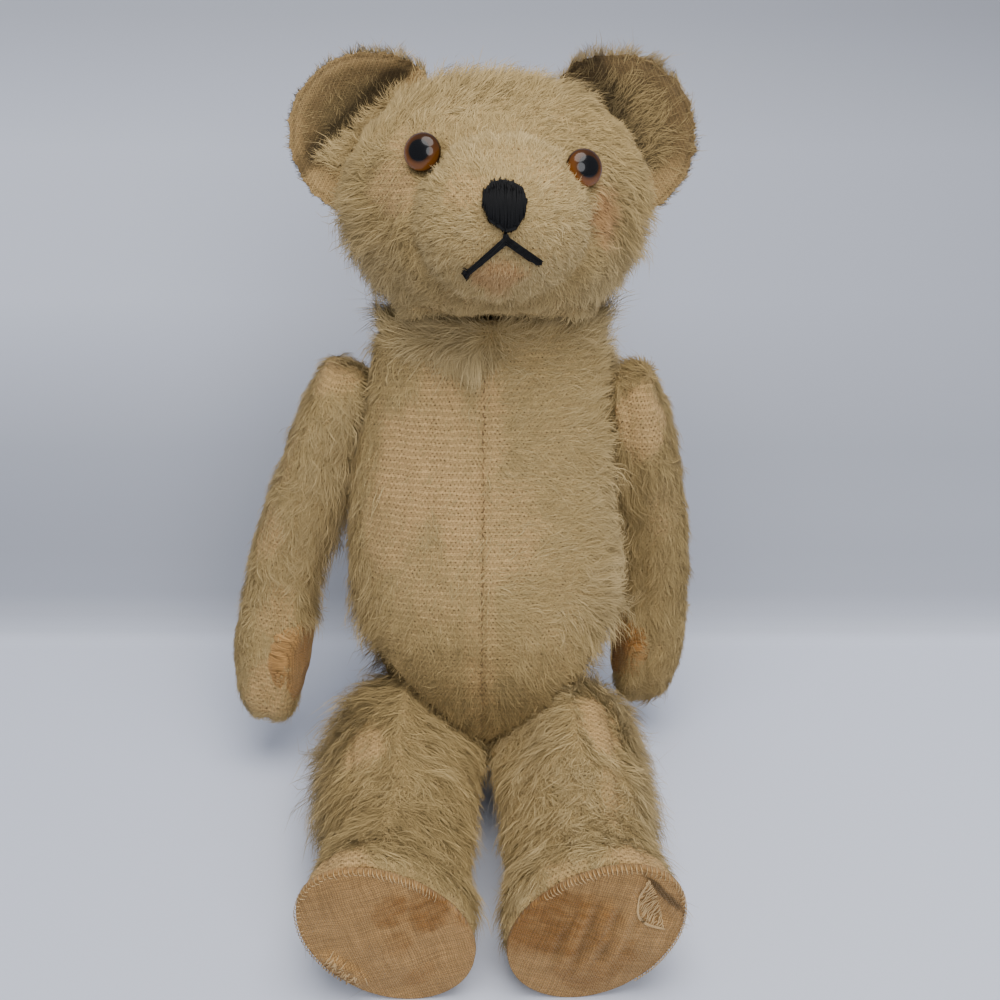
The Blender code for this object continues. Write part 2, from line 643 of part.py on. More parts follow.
def make_head():
    cover, stuffing = cover_and_stuffing("head", head_form, HEAD)
    open_for_pin(cover, stuffing, "neck", 1)
    for name in SIDES:
        make_ear(name)
        make_eye(name, cover, stuffing)
    stitched_patch("nose_stitching", NOSE_OUTLINE, NOSE_THICK)
    stitched_patch("mouth_stitching", MOUTH_OUTLINE, MOUTH_THICK)


make_body()
make_head()
for side_name in SIDES:
    make_arm(side_name)
    make_leg(side_name)
for joint_name in JOINTS:
    disc_joint(joint_name)
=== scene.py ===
"""The looks of a threadbare, jointed mohair teddy bear that sits on a pale sweep.

Every sewn part has a woven ground, bare where its pile has gone, and locks of mohair that grow from it.
Places and lengths are in millimetres, in the space of the body, of the head or of a limb's joint. There -Y
is forward, Z is up and X is the joint's axis, or the bear's left. The camera, the lights and the sweep are in
metres.
"""
import json
import math

import bmesh
import bpy
import numpy as np
from mathutils import Matrix, Vector
from mathutils.bvhtree import BVHTree
from mathutils.kdtree import KDTree

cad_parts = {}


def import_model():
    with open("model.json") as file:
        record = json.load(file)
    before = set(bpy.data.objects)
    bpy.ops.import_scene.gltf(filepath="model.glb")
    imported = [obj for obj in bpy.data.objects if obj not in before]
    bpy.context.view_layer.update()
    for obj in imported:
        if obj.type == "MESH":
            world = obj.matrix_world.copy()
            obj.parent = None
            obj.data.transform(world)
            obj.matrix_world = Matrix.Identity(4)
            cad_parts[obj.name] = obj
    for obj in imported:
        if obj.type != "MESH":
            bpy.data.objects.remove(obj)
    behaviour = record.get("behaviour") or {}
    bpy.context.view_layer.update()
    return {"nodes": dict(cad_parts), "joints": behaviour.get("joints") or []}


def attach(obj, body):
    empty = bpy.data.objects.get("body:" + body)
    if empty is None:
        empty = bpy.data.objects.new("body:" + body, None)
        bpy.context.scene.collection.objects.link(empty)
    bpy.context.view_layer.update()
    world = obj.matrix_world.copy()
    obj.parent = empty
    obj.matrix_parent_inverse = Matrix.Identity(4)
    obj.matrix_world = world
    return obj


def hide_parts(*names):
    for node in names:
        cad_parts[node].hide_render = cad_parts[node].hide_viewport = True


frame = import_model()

MM = 0.001
SIDES = {"left": 1, "right": -1}

# Places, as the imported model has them
NECK_IN_BODY = (4, 2, 214)
HEAD_IN_BODY, HEAD_TURN = (4, -6, 259), math.radians(3)
ARM_SWING = {"left": math.radians(8), "right": math.radians(-4)}
EAR_MIDDLE, EAR_TILT = Vector((47, 5, 24)), math.radians(62)
EAR_HALF_CHORD, EAR_HEIGHT = 34, 39
EYE_LOOK = Vector((0.35, -1, 0.12))
EYE_RADIUS, EYE_HEIGHT = 7.0, 4.4
MUZZLE = np.array((0, -74, -8))
SOLE = 113
LEG_SEAM = {1: 20, -1: -24}  # where the seam runs down the top of each leg

# Cloth and pile
SKIN_DEPTH = 2.2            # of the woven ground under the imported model's surface, which is amid the pile
WISPS = 0.07                # share of the pile that stands longer than the rest
ROW_PITCH, TUFT_PITCH = 1.33, 1.9
COLOURS = {
    "ground": (0.515, 0.325, 0.137), "ground_dusty": (0.40, 0.28, 0.12), "rust": (0.44, 0.18, 0.07),
    "pile_root": (0.39, 0.275, 0.115), "pile": (0.455, 0.32, 0.138), "pile_tip": (0.59, 0.44, 0.225),
    "foot_cloth": (0.49, 0.275, 0.102), "velvet": (0.31, 0.14, 0.036), "paw_cloth": (0.42, 0.235, 0.085)}

# Wear, as oval spots: the middle, the radii and the strength of each
BARE = {
    "torso": [
        ((-30, -38, 158), (26, 16, 30), 0.97), ((-18, -38, 186), (12, 14, 14), 0.8),
        ((-40, -34, 132), (16, 18, 24), 0.72), ((-10, -42, 150), (12, 16, 36), 0.9),
        ((2, -46, 175), (8, 14, 26), 0.75), ((-22, -44, 108), (18, 16, 16), 0.5),
        ((10, -44, 132), (14, 12, 22), 0.6), ((-2, -44, 100), (7, 16, 60), 0.5)],
    "left_arm": [((10, -20, 10), (16, 14, 18), 0.95), ((22, -18, -34), (9, 12, 16), 0.45)],
    "right_arm": [
        ((-15, -9, 22), (14, 14, 14), 0.85), ((-27, -17, -52), (9, 12, 14), 0.75),
        ((-16, -23, -85), (10, 10, 14), 0.7), ((-13, -26, -122), (12, 12, 18), 0.8),
        ((-26, -12, -14), (8, 10, 22), 0.5)],
    "left_leg": [
        ((14, -24, 29), (10, 20, 10), 0.9), ((20, -108, 38), (30, 17, 14), 0.97),
        ((17, -60, 28), (5, 26, 8), 0.5), ((-2, -109, 10), (12, 12, 10), 0.6)],
    "right_leg": [((-17, -34, 30), (12, 12, 10), 0.8), ((-20, -108, 38), (26, 15, 14), 0.95)],
    "head": [
        ((-41, -46, 3), (13, 20, 12), 1.0), ((-37, -48, 20), (6, 18, 8), 0.8),
        ((4, -66, 13), (12, 12, 6), 0.4), ((-15, -72, 2), (8, 10, 9), 0.8),
        ((40, -52, -2), (4, 10, 14), 0.5), ((16, -70, 6), (8, 10, 7), 0.55)]}
RUSTY = [((39, -52, -7), (9, 14, 12), 0.9), ((-3, -70, -30), (10, 12, 7), 0.7)]    # left cheek and chin
PULLED_FLAT = [((0, -78, -5), (11, 14, 12), 1.0), ((0, -74, -20), (17, 16, 10), 0.8)]    # by nose and mouth
VELVET_LEFT = {
    1: [((6, -SOLE, -8), (18, 9, 16), 0.95), ((20, -SOLE, 2), (14, 9, 15), 0.75),
        ((36, -SOLE, -2), (14, 9, 16), 0.45)],
    -1: [((-17, -SOLE, 10), (8, 9, 6), 0.75), ((-8, -SOLE, 0), (11, 9, 8), 0.9),
         ((0, -SOLE, -12), (7, 9, 7), 0.7), ((-26, -SOLE, 0), (6, 9, 5), 0.45),
         ((-34, -SOLE, -16), (8, 9, 4), 0.4)]}

# Stitching of the face, as X and Z
NOSE = ((0, -13.6), (-5.5, -10.1), (-8, -4.6), (-8, -0.1), (-5, 3.4), (-1, 4.2), (2.6, 3.4), (6, 1.4),
        (7.2, -3.1), (6.2, -8.6), (3.6, -12.6))
STEM = ((-0.2, -12.9), (-0.1, -14.9), (0, -16.7))
RIGHT_BRANCH = ((0, -16.3), (-4.5, -20.5), (-9, -24.1), (-13.6, -27.9))
LEFT_BRANCH = ((0, -16.3), (5, -19.5), (9, -22.2), (12.6, -24.2))
KNOT = ((-14.6, -26.2), (-13.4, -27.6), (-12.4, -29.2))

# Camera, light and sweep
CAMERA_PLACE, CAMERA_TILT, CAMERA_LENS = (0.006, -0.492, 0.366), math.radians(64.1), 46.8
SWEEP_HALF_WIDTH, SWEEP_FRONT, SWEEP_TOP = 2.5, -2.5, 2.2
SWEEP_BEND, SWEEP_RADIUS, SWEEP_LEAN = 0.085, 0.035, 0.62
WALL_TINT = np.array((1.0, 1.055, 1.23))
WALL_HEIGHT = 0.625         # over which the wall's grey and its painted shade change
WALL_SHADED_GREYS = ((0.0, 0.69), (1.0, 0.40), (0.004, 0.53), (0.011, 0.43), (0.026, 0.36), (0.056, 0.34),
              (0.128, 0.352), (0.239, 0.455), (0.355, 0.44), (0.467, 0.305))    # at shares of that height: painted shade and light, darkest over the bend and the foot of the wall, with a lighter band higher up


# ---------------------------------------------------------------- spaces

def space_at(origin, x_axis, turn=0.0):
    """The space of a joint: X along its axis, and Z as near to upright as that allows, turned about X."""
    x_axis = Vector(x_axis).normalized()
    z_axis = (Vector((0, 0, 1)) - x_axis * x_axis.z).normalized()
    rotation = Matrix((x_axis, z_axis.cross(x_axis), z_axis)).transposed().to_4x4()
    return Matrix.Translation(origin) @ rotation @ Matrix.Rotation(turn, 4, "X") @ Matrix.Scale(MM, 4)


def make_spaces():
    joints = {joint["name"]: joint for joint in frame["joints"]}
    neck = joints["neck"]
    lean = math.atan2(neck["axis"][1], neck["axis"][2])
    body = Matrix.Translation(neck["pos_m"]) @ Matrix.Rotation(-lean, 4, "X") @ Matrix.Scale(MM, 4)
    body = body @ Matrix.Translation([-c for c in NECK_IN_BODY])
    spaces = {"torso": body,
              "head": body @ Matrix.Translation(HEAD_IN_BODY) @ Matrix.Rotation(HEAD_TURN, 4, "Z")}
    for name in SIDES:
        shoulder, hip = joints[name + "_shoulder"], joints[name + "_hip"]
        spaces[name + "_arm"] = space_at(shoulder["pos_m"], shoulder["axis"], ARM_SWING[name])
        spaces[name + "_leg"] = space_at(hip["pos_m"], hip["axis"])
    return spaces


SPACES = make_spaces()


def local(space, points):
    """World points as millimetres in a space."""
    matrix = np.array(SPACES[space].inverted())
    return points @ matrix[:3, :3].T + matrix[:3, 3]


def world(space, points):
    matrix = np.array(SPACES[space])
    return points @ matrix[:3, :3].T + matrix[:3, 3]


def turned_in(space, vectors):
    """World directions in a space."""
    return vectors @ np.array(SPACES[space])[:3, :3] / MM


def turned_out(space, vectors):
    return vectors @ np.array(SPACES[space])[:3, :3].T / MM


# ---------------------------------------------------------------- numbers

def unit(vectors):
    return vectors / np.maximum(np.linalg.norm(vectors, axis=-1, keepdims=True), 1e-9)


def rows_of(*parts):
    """Columns of numbers, or fixed numbers, as an array of vectors."""
    return np.stack(np.broadcast_arrays(*parts), axis=1).astype(float)


def blur_step(low, high, value):
    """0 at low, 1 at high, smooth between."""
    share = np.clip((value - low) / (high - low), 0, 1)
    return share * share * (3 - 2 * share)


def bell(value, width):
    """1 where the value is 0, falling smoothly to 0 at about twice the width."""
    return np.exp(-(value / width) ** 2)


def ripple(points, size, seed):
    """A smooth noise from -1 to 1 whose bumps are about size across."""
    rng = np.random.default_rng(seed)
    total = np.zeros(len(points))
    for _ in range(9):
        way = rng.normal(size=3)
        way *= 2 * math.pi / (size * rng.uniform(0.9, 2.2) * np.linalg.norm(way))
        total += np.sin(points @ way + rng.uniform(0, 2 * math.pi))
    return np.tanh(total / 2.6)


def swirl(places, size, seed):
    """A gentle wandering of the comb's way."""
    return np.stack([ripple(places, size, seed + part) for part in range(3)], axis=1)


def dirt(places):
    """How dusty a place is, 0 to 1."""
    return np.clip(0.45 + 0.3 * ripple(places, 30, 21) + 0.2 * ripple(places, 9, 22), 0, 1)


def near(points, centre, radii):
    """1 at the middle of an oval spot, falling to 0 outside it, with a ragged edge."""
    distance = np.linalg.norm((points - np.array(centre)) / np.array(radii), axis=1)
    distance = distance * (1 + 0.16 * ripple(points, 7, 3) + 0.10 * ripple(points, 2.6, 4))
    return 1 - blur_step(0.7, 1.15, distance)


def spots(points, places):
    """The strongest of several spots."""
    return np.max([strength * near(points, centre, radii) for centre, radii, strength in places], axis=0)


def mixed(first, second, share):
    return np.outer(1 - share, COLOURS[first]) + np.outer(share, COLOURS[second])


def ground_tint(places, bare, least=0.35, gain=0.8, dusty=0.3):
    """The woven ground's colour, cleaner where it is bare."""
    return mixed("ground_dusty", "ground", np.clip(least + gain * bare - dusty * dirt(places), 0, 1))


# ---------------------------------------------------------------- materials

def add_node(tree, kind, inputs=None, **settings):
    node = tree.nodes.new("ShaderNode" + kind)
    for key, value in settings.items():
        setattr(node, key, value)
    for key, value in (inputs or {}).items():
        if isinstance(value, bpy.types.NodeSocket):
            tree.links.new(value, node.inputs[key])
        else:
            node.inputs[key].default_value = value
    return node


def maths(tree, operation, first, second=0.0, third=0.0):
    return add_node(tree, "Math", {0: first, 1: second, 2: third}, operation=operation).outputs[0]


def times(tree, first, second, added=0.0):
    """The product, plus what is added."""
    return maths(tree, "MULTIPLY_ADD", first, second, added)


def ranged(tree, value, from_low, from_high, to_low=0.0, to_high=1.0):
    """A value carried from one range to another, and kept inside it."""
    return add_node(tree, "MapRange", {"Value": value, "From Min": from_low, "From Max": from_high,
                                       "To Min": to_low, "To Max": to_high}).outputs[0]


def scaled(tree, vector, share):
    return add_node(tree, "VectorMath", {0: vector, "Scale": share}, operation="SCALE").outputs[0]


def noise(tree, scale, detail=3.0, vector=None):
    inputs = {"Scale": scale, "Detail": detail}
    if vector:
        inputs["Vector"] = vector
    return add_node(tree, "TexNoise", inputs).outputs["Fac"]


def wave(tree, scale, distortion, detail, direction):
    place = add_node(tree, "TexCoord").outputs["Object"]
    inputs = {"Vector": place, "Scale": scale, "Distortion": distortion, "Detail": detail}
    return add_node(tree, "TexWave", inputs, bands_direction=direction).outputs["Fac"]


def rgba(colour):
    return (*colour, 1.0)


def attribute(tree, name, output):
    return add_node(tree, "Attribute", attribute_name=name).outputs[output]


def new_material(name, **fixed):
    """A material, its node tree and its shader, whose sockets take the fixed values."""
    material = bpy.data.materials.new(name)
    material.use_nodes = True
    shader = material.node_tree.nodes["Principled BSDF"]
    for key, value in fixed.items():
        shader.inputs[key.replace("_", " ")].default_value = value
    return material, material.node_tree, shader


def paint(tree, shader, shade, colour=None):
    """Colours the shader by a mesh's own tint, or by one colour, made paler and darker by the shade."""
    colour = colour or attribute(tree, "tint", "Color")
    tree.links.new(scaled(tree, colour, shade), shader.inputs["Base Color"])


def colour_between(tree, shader, share, first, second):
    """Colours the shader with a mix of two colours."""
    node = add_node(tree, "Mix", {0: share, 6: rgba(first), 7: rgba(second)}, data_type="RGBA")
    tree.links.new(node.outputs[2], shader.inputs["Base Color"])


def bump(tree, shader, height, strength, distance):
    node = add_node(tree, "Bump", {"Height": height, "Strength": strength, "Distance": distance * MM})
    tree.links.new(node.outputs[0], shader.inputs["Normal"])


def ridge(tree, counted):
    """0 at each whole number and 1 half way between."""
    return maths(tree, "ABSOLUTE", maths(tree, "SINE", times(tree, counted, math.pi)))


def plain_weave(tree, across, along):
    """The height of a plain weave, 0 to 1, where across and along count threads."""
    square = maths(tree, "ADD", maths(tree, "FLOOR", across), maths(tree, "FLOOR", along))
    over = maths(tree, "ABSOLUTE", maths(tree, "MODULO", square, 2.0))
    warp, weft = ridge(tree, across), ridge(tree, along)
    return times(tree, over, maths(tree, "SUBTRACT", warp, weft), weft)


def thread_counts(tree, pitch_across, pitch_along):
    """The cloth's own coordinates, counted in threads, with a little waviness."""
    place = attribute(tree, "weave", "Vector")
    stray = add_node(tree, "TexNoise", {"Vector": place, "Scale": 0.12, "Detail": 2.0}).outputs["Color"]
    stray = add_node(tree, "VectorMath", {0: stray, 1: (0.5, 0.5, 0.5)}, operation="SUBTRACT").outputs[0]
    place = add_node(tree, "VectorMath", {0: place, 1: scaled(tree, stray, 2.2)}, operation="ADD").outputs[0]
    parts = add_node(tree, "SeparateXYZ", {0: place})
    return (maths(tree, "DIVIDE", parts.outputs[0], pitch_across),
            maths(tree, "DIVIDE", parts.outputs[1], pitch_along))


def make_ground_material():
    """The mohair's woven ground: ribbed rows with a pit at every pulled tuft, in a colour that carries
    painted shade in the pits, in the fine weave's dips and between the rows.
    """
    material, tree, shader = new_material("mohair_ground", Roughness=0.92, Specular_IOR_Level=0.08,
                                          Sheen_Weight=0.1, Sheen_Roughness=0.5,
                                          Sheen_Tint=rgba((0.9, 0.75, 0.55)))
    across, along = thread_counts(tree, TUFT_PITCH, ROW_PITCH)
    row = maths(tree, "FLOOR", along)
    staggered = times(tree, row, 0.5, across)
    column = maths(tree, "SINE", times(tree, staggered, 2 * math.pi))
    pit = times(tree, maths(tree, "POWER", ridge(tree, along), 2.5),
                maths(tree, "POWER", times(tree, column, 0.5, 0.5), 2.0))
    worn = ranged(tree, noise(tree, 520, 2), 0.35, 0.65)
    cell = add_node(tree, "CombineXYZ", {0: maths(tree, "FLOOR", staggered), 1: row}).outputs[0]
    chance = add_node(tree, "TexWhiteNoise", {"Vector": cell}).outputs["Value"]
    pit = times(tree, pit, times(tree, worn, 0.9, 0.15))
    pit = times(tree, pit, times(tree, chance, 1.5, 0.25))
    patchy = ranged(tree, noise(tree, 140), 0.38, 0.62)
    rib = times(tree, maths(tree, "COSINE", times(tree, along, math.pi)), 0.5, 0.5)
    rib = times(tree, rib, times(tree, patchy, 0.9, 0.25))
    fine = plain_weave(tree, times(tree, across, 3.0), times(tree, along, 2.0))
    shade = times(tree, ranged(tree, noise(tree, 90), 0, 1, 0.78, 1.24),
                  ranged(tree, noise(tree, 1500, 2), 0.3, 0.7, 0.62, 1.38))
    # painted shade: darker in the pits, in the fine weave's dips and between the rows, where the bump is low
    for pattern, gain, base in ((pit, -0.7, 1.06), (fine, 0.42, 0.74), (rib, 0.34, 0.84)):
        shade = times(tree, shade, times(tree, pattern, gain, base))
    paint(tree, shader, shade)
    height = maths(tree, "ADD", times(tree, rib, 0.35), times(tree, pit, -0.8, times(tree, fine, 0.45)))
    bump(tree, shader, height, 0.8, 0.45)
    return material


def make_fur_material():
    """Mohair: each lock carries its own tint from root to tip, and both its sides face the light alike."""
    material, tree, shader = new_material("mohair_pile", Roughness=0.65, Specular_IOR_Level=0.12,
                                          Sheen_Weight=0.1, Sheen_Roughness=0.4,
                                          Sheen_Tint=rgba((0.95, 0.85, 0.65)))
    paint(tree, shader, ranged(tree, noise(tree, 260), 0, 1, 0.88, 1.12))
    face = add_node(tree, "NewGeometry")
    outward = times(tree, face.outputs["Backfacing"], -2.0, 1.0)
    tree.links.new(scaled(tree, face.outputs["Normal"], outward), shader.inputs["Normal"])
    return material


def make_sweep_material():
    """A pale wall and floor that are seen from the front only, so the bear can be looked at from behind.
    Painted shade darkens the bend and the wall up its height, and painted light makes the wall brighter on
    its left and darker on its right.
    """
    material, tree, shader = new_material("sweep", Roughness=0.55, Specular_IOR_Level=0.25)
    place = add_node(tree, "SeparateXYZ", {0: add_node(tree, "TexCoord").outputs["Object"]})
    # painted shade and light up the wall's height
    height = add_node(tree, "ValToRGB", {"Fac": times(tree, place.outputs[2], 1 / WALL_HEIGHT)})
    stops = height.color_ramp.elements
    for index, (position, grey) in enumerate(WALL_SHADED_GREYS):
        stop = stops[index] if index < 2 else stops.new(position)
        stop.position, stop.color = position, rgba(grey * WALL_TINT)
    # painted light from the left: the wall brighter on its left and darker on its right, the floor a little
    # brighter on its right
    high = ranged(tree, place.outputs[2], 0.05, 0.15)
    aside = maths(tree, "MAXIMUM", maths(tree, "MINIMUM", place.outputs[0], 0.5), -0.5)
    cloudy = ranged(tree, noise(tree, 3.0), 0, 1, 0.97, 1.03)
    shade = times(tree, aside, times(tree, high, -0.75, 0.08), cloudy)
    paint(tree, shader, shade, height.outputs[0])
    one_sided = add_node(tree, "MixShader", {
        0: add_node(tree, "NewGeometry").outputs["Backfacing"], 1: shader.outputs[0],
        2: add_node(tree, "BsdfTransparent").outputs[0]})
    tree.links.new(one_sided.outputs[0], tree.nodes["Material Output"].inputs["Surface"])
    return material


def make_glass_material():
    """Amber glass seen against its painted back, with a hard shine."""
    material, tree, shader = new_material("amber_eye", Roughness=0.25, Specular_IOR_Level=0.1,
                                          Coat_Weight=0.55, Coat_Roughness=0.02)
    paint(tree, shader, ranged(tree, noise(tree, 800), 0, 1, 0.85, 1.12))
    bump(tree, shader, noise(tree, 500), 0.05, 0.1)
    return material


def make_thread_material(name, colour, rough=0.8, shine=0.2):
    """Twisted cotton: fine slanting plies with painted shade in the grooves between them, and uneven dye."""
    material, tree, shader = new_material(name, Roughness=rough, Specular_IOR_Level=shine)
    plies = wave(tree, 900.0, 2.0, 2.0, "DIAGONAL")
    # painted shade, darker in the grooves between the plies
    shade = times(tree, times(tree, plies, 0.35, 0.75), times(tree, noise(tree, 300), 0.6, 0.7))
    paint(tree, shader, shade, colour)
    bump(tree, shader, plies, 0.5, 0.1)
    return material


def make_pad_material(name, pitch, thread_depth, worn):
    """Plain-woven cloth of uneven threads, tinted by the nap that is left on it, with painted shade where the
    weave dips.
    """
    material, tree, shader = new_material(name, Roughness=0.95, Specular_IOR_Level=0.12, Sheen_Weight=0.35,
                                          Sheen_Roughness=0.45, Sheen_Tint=rgba((0.9, 0.65, 0.4)))
    across, along = thread_counts(tree, pitch, pitch)
    cloth = times(tree, plain_weave(tree, across, along), times(tree, noise(tree, 1400), 0.9, 0.55))
    cloudy = ranged(tree, noise(tree, 120, 5), 0, 1, 1 - worn, 1 + worn)
    # painted shade, darker where the weave dips
    shade = times(tree, cloudy, times(tree, cloth, 0.85, 0.45))
    for stretch in ((1.0, 0.05), (0.05, 1.0)):
        thread = add_node(tree, "CombineXYZ", {0: times(tree, across, stretch[0]),
                                               1: times(tree, along, stretch[1])}).outputs[0]
        shade = times(tree, shade, ranged(tree, noise(tree, 0.9, 2, thread), 0.3, 0.7, 0.80, 1.20))
    paint(tree, shader, shade)
    bump(tree, shader, cloth, 0.8, thread_depth)
    return material


def make_wood_wool():
    """Shredded wood, packed: crossing pale shavings."""
    material, tree, shader = new_material("wood_wool", Roughness=0.85)
    curls = wave(tree, 160.0, 14.0, 3.0, "X")
    colour_between(tree, shader, curls, (0.22, 0.13, 0.05), (0.62, 0.47, 0.26))
    bump(tree, shader, curls, 0.8, 1.0)
    return material


def make_fibreboard():
    """Pressed brown board with darker flecks."""
    material, tree, shader = new_material("fibreboard", Roughness=0.75)
    flecks = noise(tree, 700, 6)
    colour_between(tree, shader, flecks, (0.10, 0.055, 0.03), (0.30, 0.18, 0.10))
    bump(tree, shader, flecks, 0.3, 0.2)
    return material


def make_steel():
    """Old bright steel, dulled and lightly rusted in spots."""
    material, tree, shader = new_material("old_steel", Metallic=1.0, Roughness=0.4)
    rust = ranged(tree, noise(tree, 260, 6), 0.55, 0.68)
    colour_between(tree, shader, rust, (0.52, 0.51, 0.49), (0.20, 0.07, 0.03))
    tree.links.new(times(tree, rust, 0.5, 0.35), shader.inputs["Roughness"])
    tree.links.new(maths(tree, "SUBTRACT", 1.0, rust), shader.inputs["Metallic"])
    return material


GROUND = make_ground_material()
FUR = make_fur_material()
BLACK_COTTON = make_thread_material("black_cotton", (0.006, 0.006, 0.0065), rough=0.6, shine=0.17)
PEACH_COTTON = make_thread_material("peach_cotton", (0.58, 0.39, 0.19))
BROWN_COTTON = make_thread_material("brown_cotton", (0.20, 0.125, 0.06))
SOLE_CLOTH = make_pad_material("sole_cloth", 0.8, 0.35, 0.16)
PAW_CLOTH = make_pad_material("paw_velvet", 0.7, 0.25, 0.22)
EYE_GLASS = make_glass_material()


# ---------------------------------------------------------------- meshes

def read_vectors(collection, name, count):
    values = np.empty(count * 3, np.float32)
    collection.foreach_get(name, values)
    return values.reshape(-1, 3).astype(float)


def read_vertices(mesh):
    return read_vectors(mesh.vertices, "co", len(mesh.vertices))


def read_normals(mesh):
    return read_vectors(mesh.vertex_normals, "vector", len(mesh.vertices))


def read_triangles(mesh):
    mesh.calc_loop_triangles()
    corners = np.empty(len(mesh.loop_triangles) * 3, np.int32)
    mesh.loop_triangles.foreach_get("vertices", corners)
    return corners.reshape(-1, 3)


def write_vertices(mesh, points):
    mesh.vertices.foreach_set("co", points.astype(np.float32).ravel())
    mesh.update()


def write_attribute(mesh, name, values):
    """The tint as a colour for each vertex, or anything else as a vector."""
    kind, field = "FLOAT_VECTOR", "vector"
    if name == "tint":
        kind, field = "FLOAT_COLOR", "color"
        values = np.concatenate([values, np.ones((len(values), 1))], axis=1)
    mesh.attributes.new(name, kind, "POINT").data.foreach_set(field, values.astype(np.float32).ravel())


def new_mesh(name, points, faces, smooth=True):
    mesh = bpy.data.meshes.new(name)
    mesh.from_pydata(points, [], faces)
    if smooth:
        mesh.shade_smooth()
    return mesh


def ring_faces(start, sides):
    """The faces between a ring of points, which begins at start, and the ring after it."""
    return [(start + k, start + (k + 1) % sides, start + sides + (k + 1) % sides, start + sides + k)
            for k in range(sides)]


def add_object(name, data):
    obj = bpy.data.objects.new(name, data)
    bpy.context.scene.collection.objects.link(obj)
    return obj


def link(name, mesh, body, material):
    """Puts a mesh in the scene as a piece of one material that moves with a body."""
    mesh.materials.clear()
    mesh.materials.append(material)
    obj = add_object(name, mesh)
    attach(obj, body)
    return obj


def outer_faces(node, hollow):
    """The outside of a sewn cover as a closed bmesh: no lining, and its openings filled."""
    bm = bmesh.new()
    bm.from_mesh(frame["nodes"][node].data)
    bmesh.ops.remove_doubles(bm, verts=bm.verts, dist=0.01 * MM)
    bm.normal_update()
    if not hollow:
        return bm
    tree = BVHTree.FromBMesh(bm)
    lining = []
    for face in bm.faces:
        start = face.calc_center_median() + face.normal * 0.2 * MM
        if tree.ray_cast(start, face.normal)[0] is not None:
            lining.append(face)
    bmesh.ops.delete(bm, geom=lining, context="FACES")
    keep_largest(bm)
    bmesh.ops.holes_fill(bm, edges=bm.edges, sides=0)
    bmesh.ops.triangulate(bm, faces=bm.faces)
    return bm


def keep_largest(bm):
    """Deletes every island of faces but the one with the most."""
    islands, seen = [], set()
    for start in bm.faces:
        if start in seen:
            continue
        island, waiting = [], [start]
        seen.add(start)
        while waiting:
            face = waiting.pop()
            island.append(face)
            fresh = {other for edge in face.edges for other in edge.link_faces} - seen
            seen |= fresh
            waiting.extend(fresh)
        islands.append(island)
    islands.sort(key=len)
    for island in islands[:-1]:
        bmesh.ops.delete(bm, geom=island, context="FACES")


def remeshed(bm, voxel):
    """The closed bmesh as an even mesh of small faces."""
    mesh = bpy.data.meshes.new("closed")
    bm.to_mesh(mesh)
    bm.free()
    obj = add_object("closed", mesh)
    modifier = obj.modifiers.new("even", "REMESH")
    modifier.mode = "VOXEL"
    modifier.voxel_size = voxel * MM
    made = bpy.data.meshes.new_from_object(obj.evaluated_get(bpy.context.evaluated_depsgraph_get()))
    bpy.data.objects.remove(obj)
    return made


def relax(mesh, rounds):
    """Draws each vertex to the mean of its neighbours, and the form back out to its size."""
    points = read_vertices(mesh)
    ends = np.empty(len(mesh.edges) * 2, np.int32)
    mesh.edges.foreach_get("vertices", ends)
    first, second = ends.reshape(-1, 2).T
    count = np.bincount(ends, minlength=len(points))[:, None]
    for strength in (0.62, -0.60) * rounds:
        total = np.zeros_like(points)
        for axis in range(3):
            total[:, axis] = (np.bincount(first, points[second, axis], len(points))
                              + np.bincount(second, points[first, axis], len(points)))
        points += strength * (total / count - points)
    write_vertices(mesh, points)


def make_skin(name, node, body, voxel, shape, tint, weave, depth=SKIN_DEPTH, rounds=12, hollow=True):
    """The woven ground of one sewn part. shape gives how far each point stands proud, tint its colour and
    weave its place on the cloth, from places in the body's space and, but for weave, the ways they face."""
    mesh = remeshed(outer_faces(node, hollow), voxel)
    mesh.name = name
    relax(mesh, rounds)
    points, normals = read_vertices(mesh), read_normals(mesh)
    places, facing = local(body, points), turned_in(body, normals)
    points += normals * ((shape(places, facing) - depth) * MM)[:, None]
    points[:, 2] = np.maximum(points[:, 2], 0)
    write_vertices(mesh, points)
    write_attribute(mesh, "tint", tint(places, facing))
    write_attribute(mesh, "weave", weave(places))
    obj = link(name, mesh, body, GROUND)
    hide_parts(node)
    return obj


# ---------------------------------------------------------------- camera, light and sweep

def make_camera():
    camera = bpy.data.cameras.new("camera")
    camera.lens = CAMERA_LENS
    camera.sensor_width = 36
    camera.clip_start = 0.01
    obj = add_object("camera", camera)
    obj.location = CAMERA_PLACE
    obj.rotation_euler = (CAMERA_TILT, 0, 0)
    bpy.context.scene.camera = obj


def make_light(name, place, target, size, power, colour):
    light = bpy.data.lights.new(name, "AREA")
    light.shape = "DISK"
    light.size = size
    light.energy = power
    light.color = colour
    light.specular_factor = 0.4
    obj = add_object(name, light)
    obj.location = place
    obj.rotation_euler = (Vector(target) - Vector(place)).to_track_quat("-Z", "Y").to_euler()


def make_world():
    world_light = bpy.data.worlds.new("soft_room")
    bpy.context.scene.world = world_light
    world_light.use_nodes = True
    sky = world_light.node_tree.nodes["Background"]
    sky.inputs["Color"].default_value = rgba((0.80, 0.86, 0.95))
    sky.inputs["Strength"].default_value = 0.38


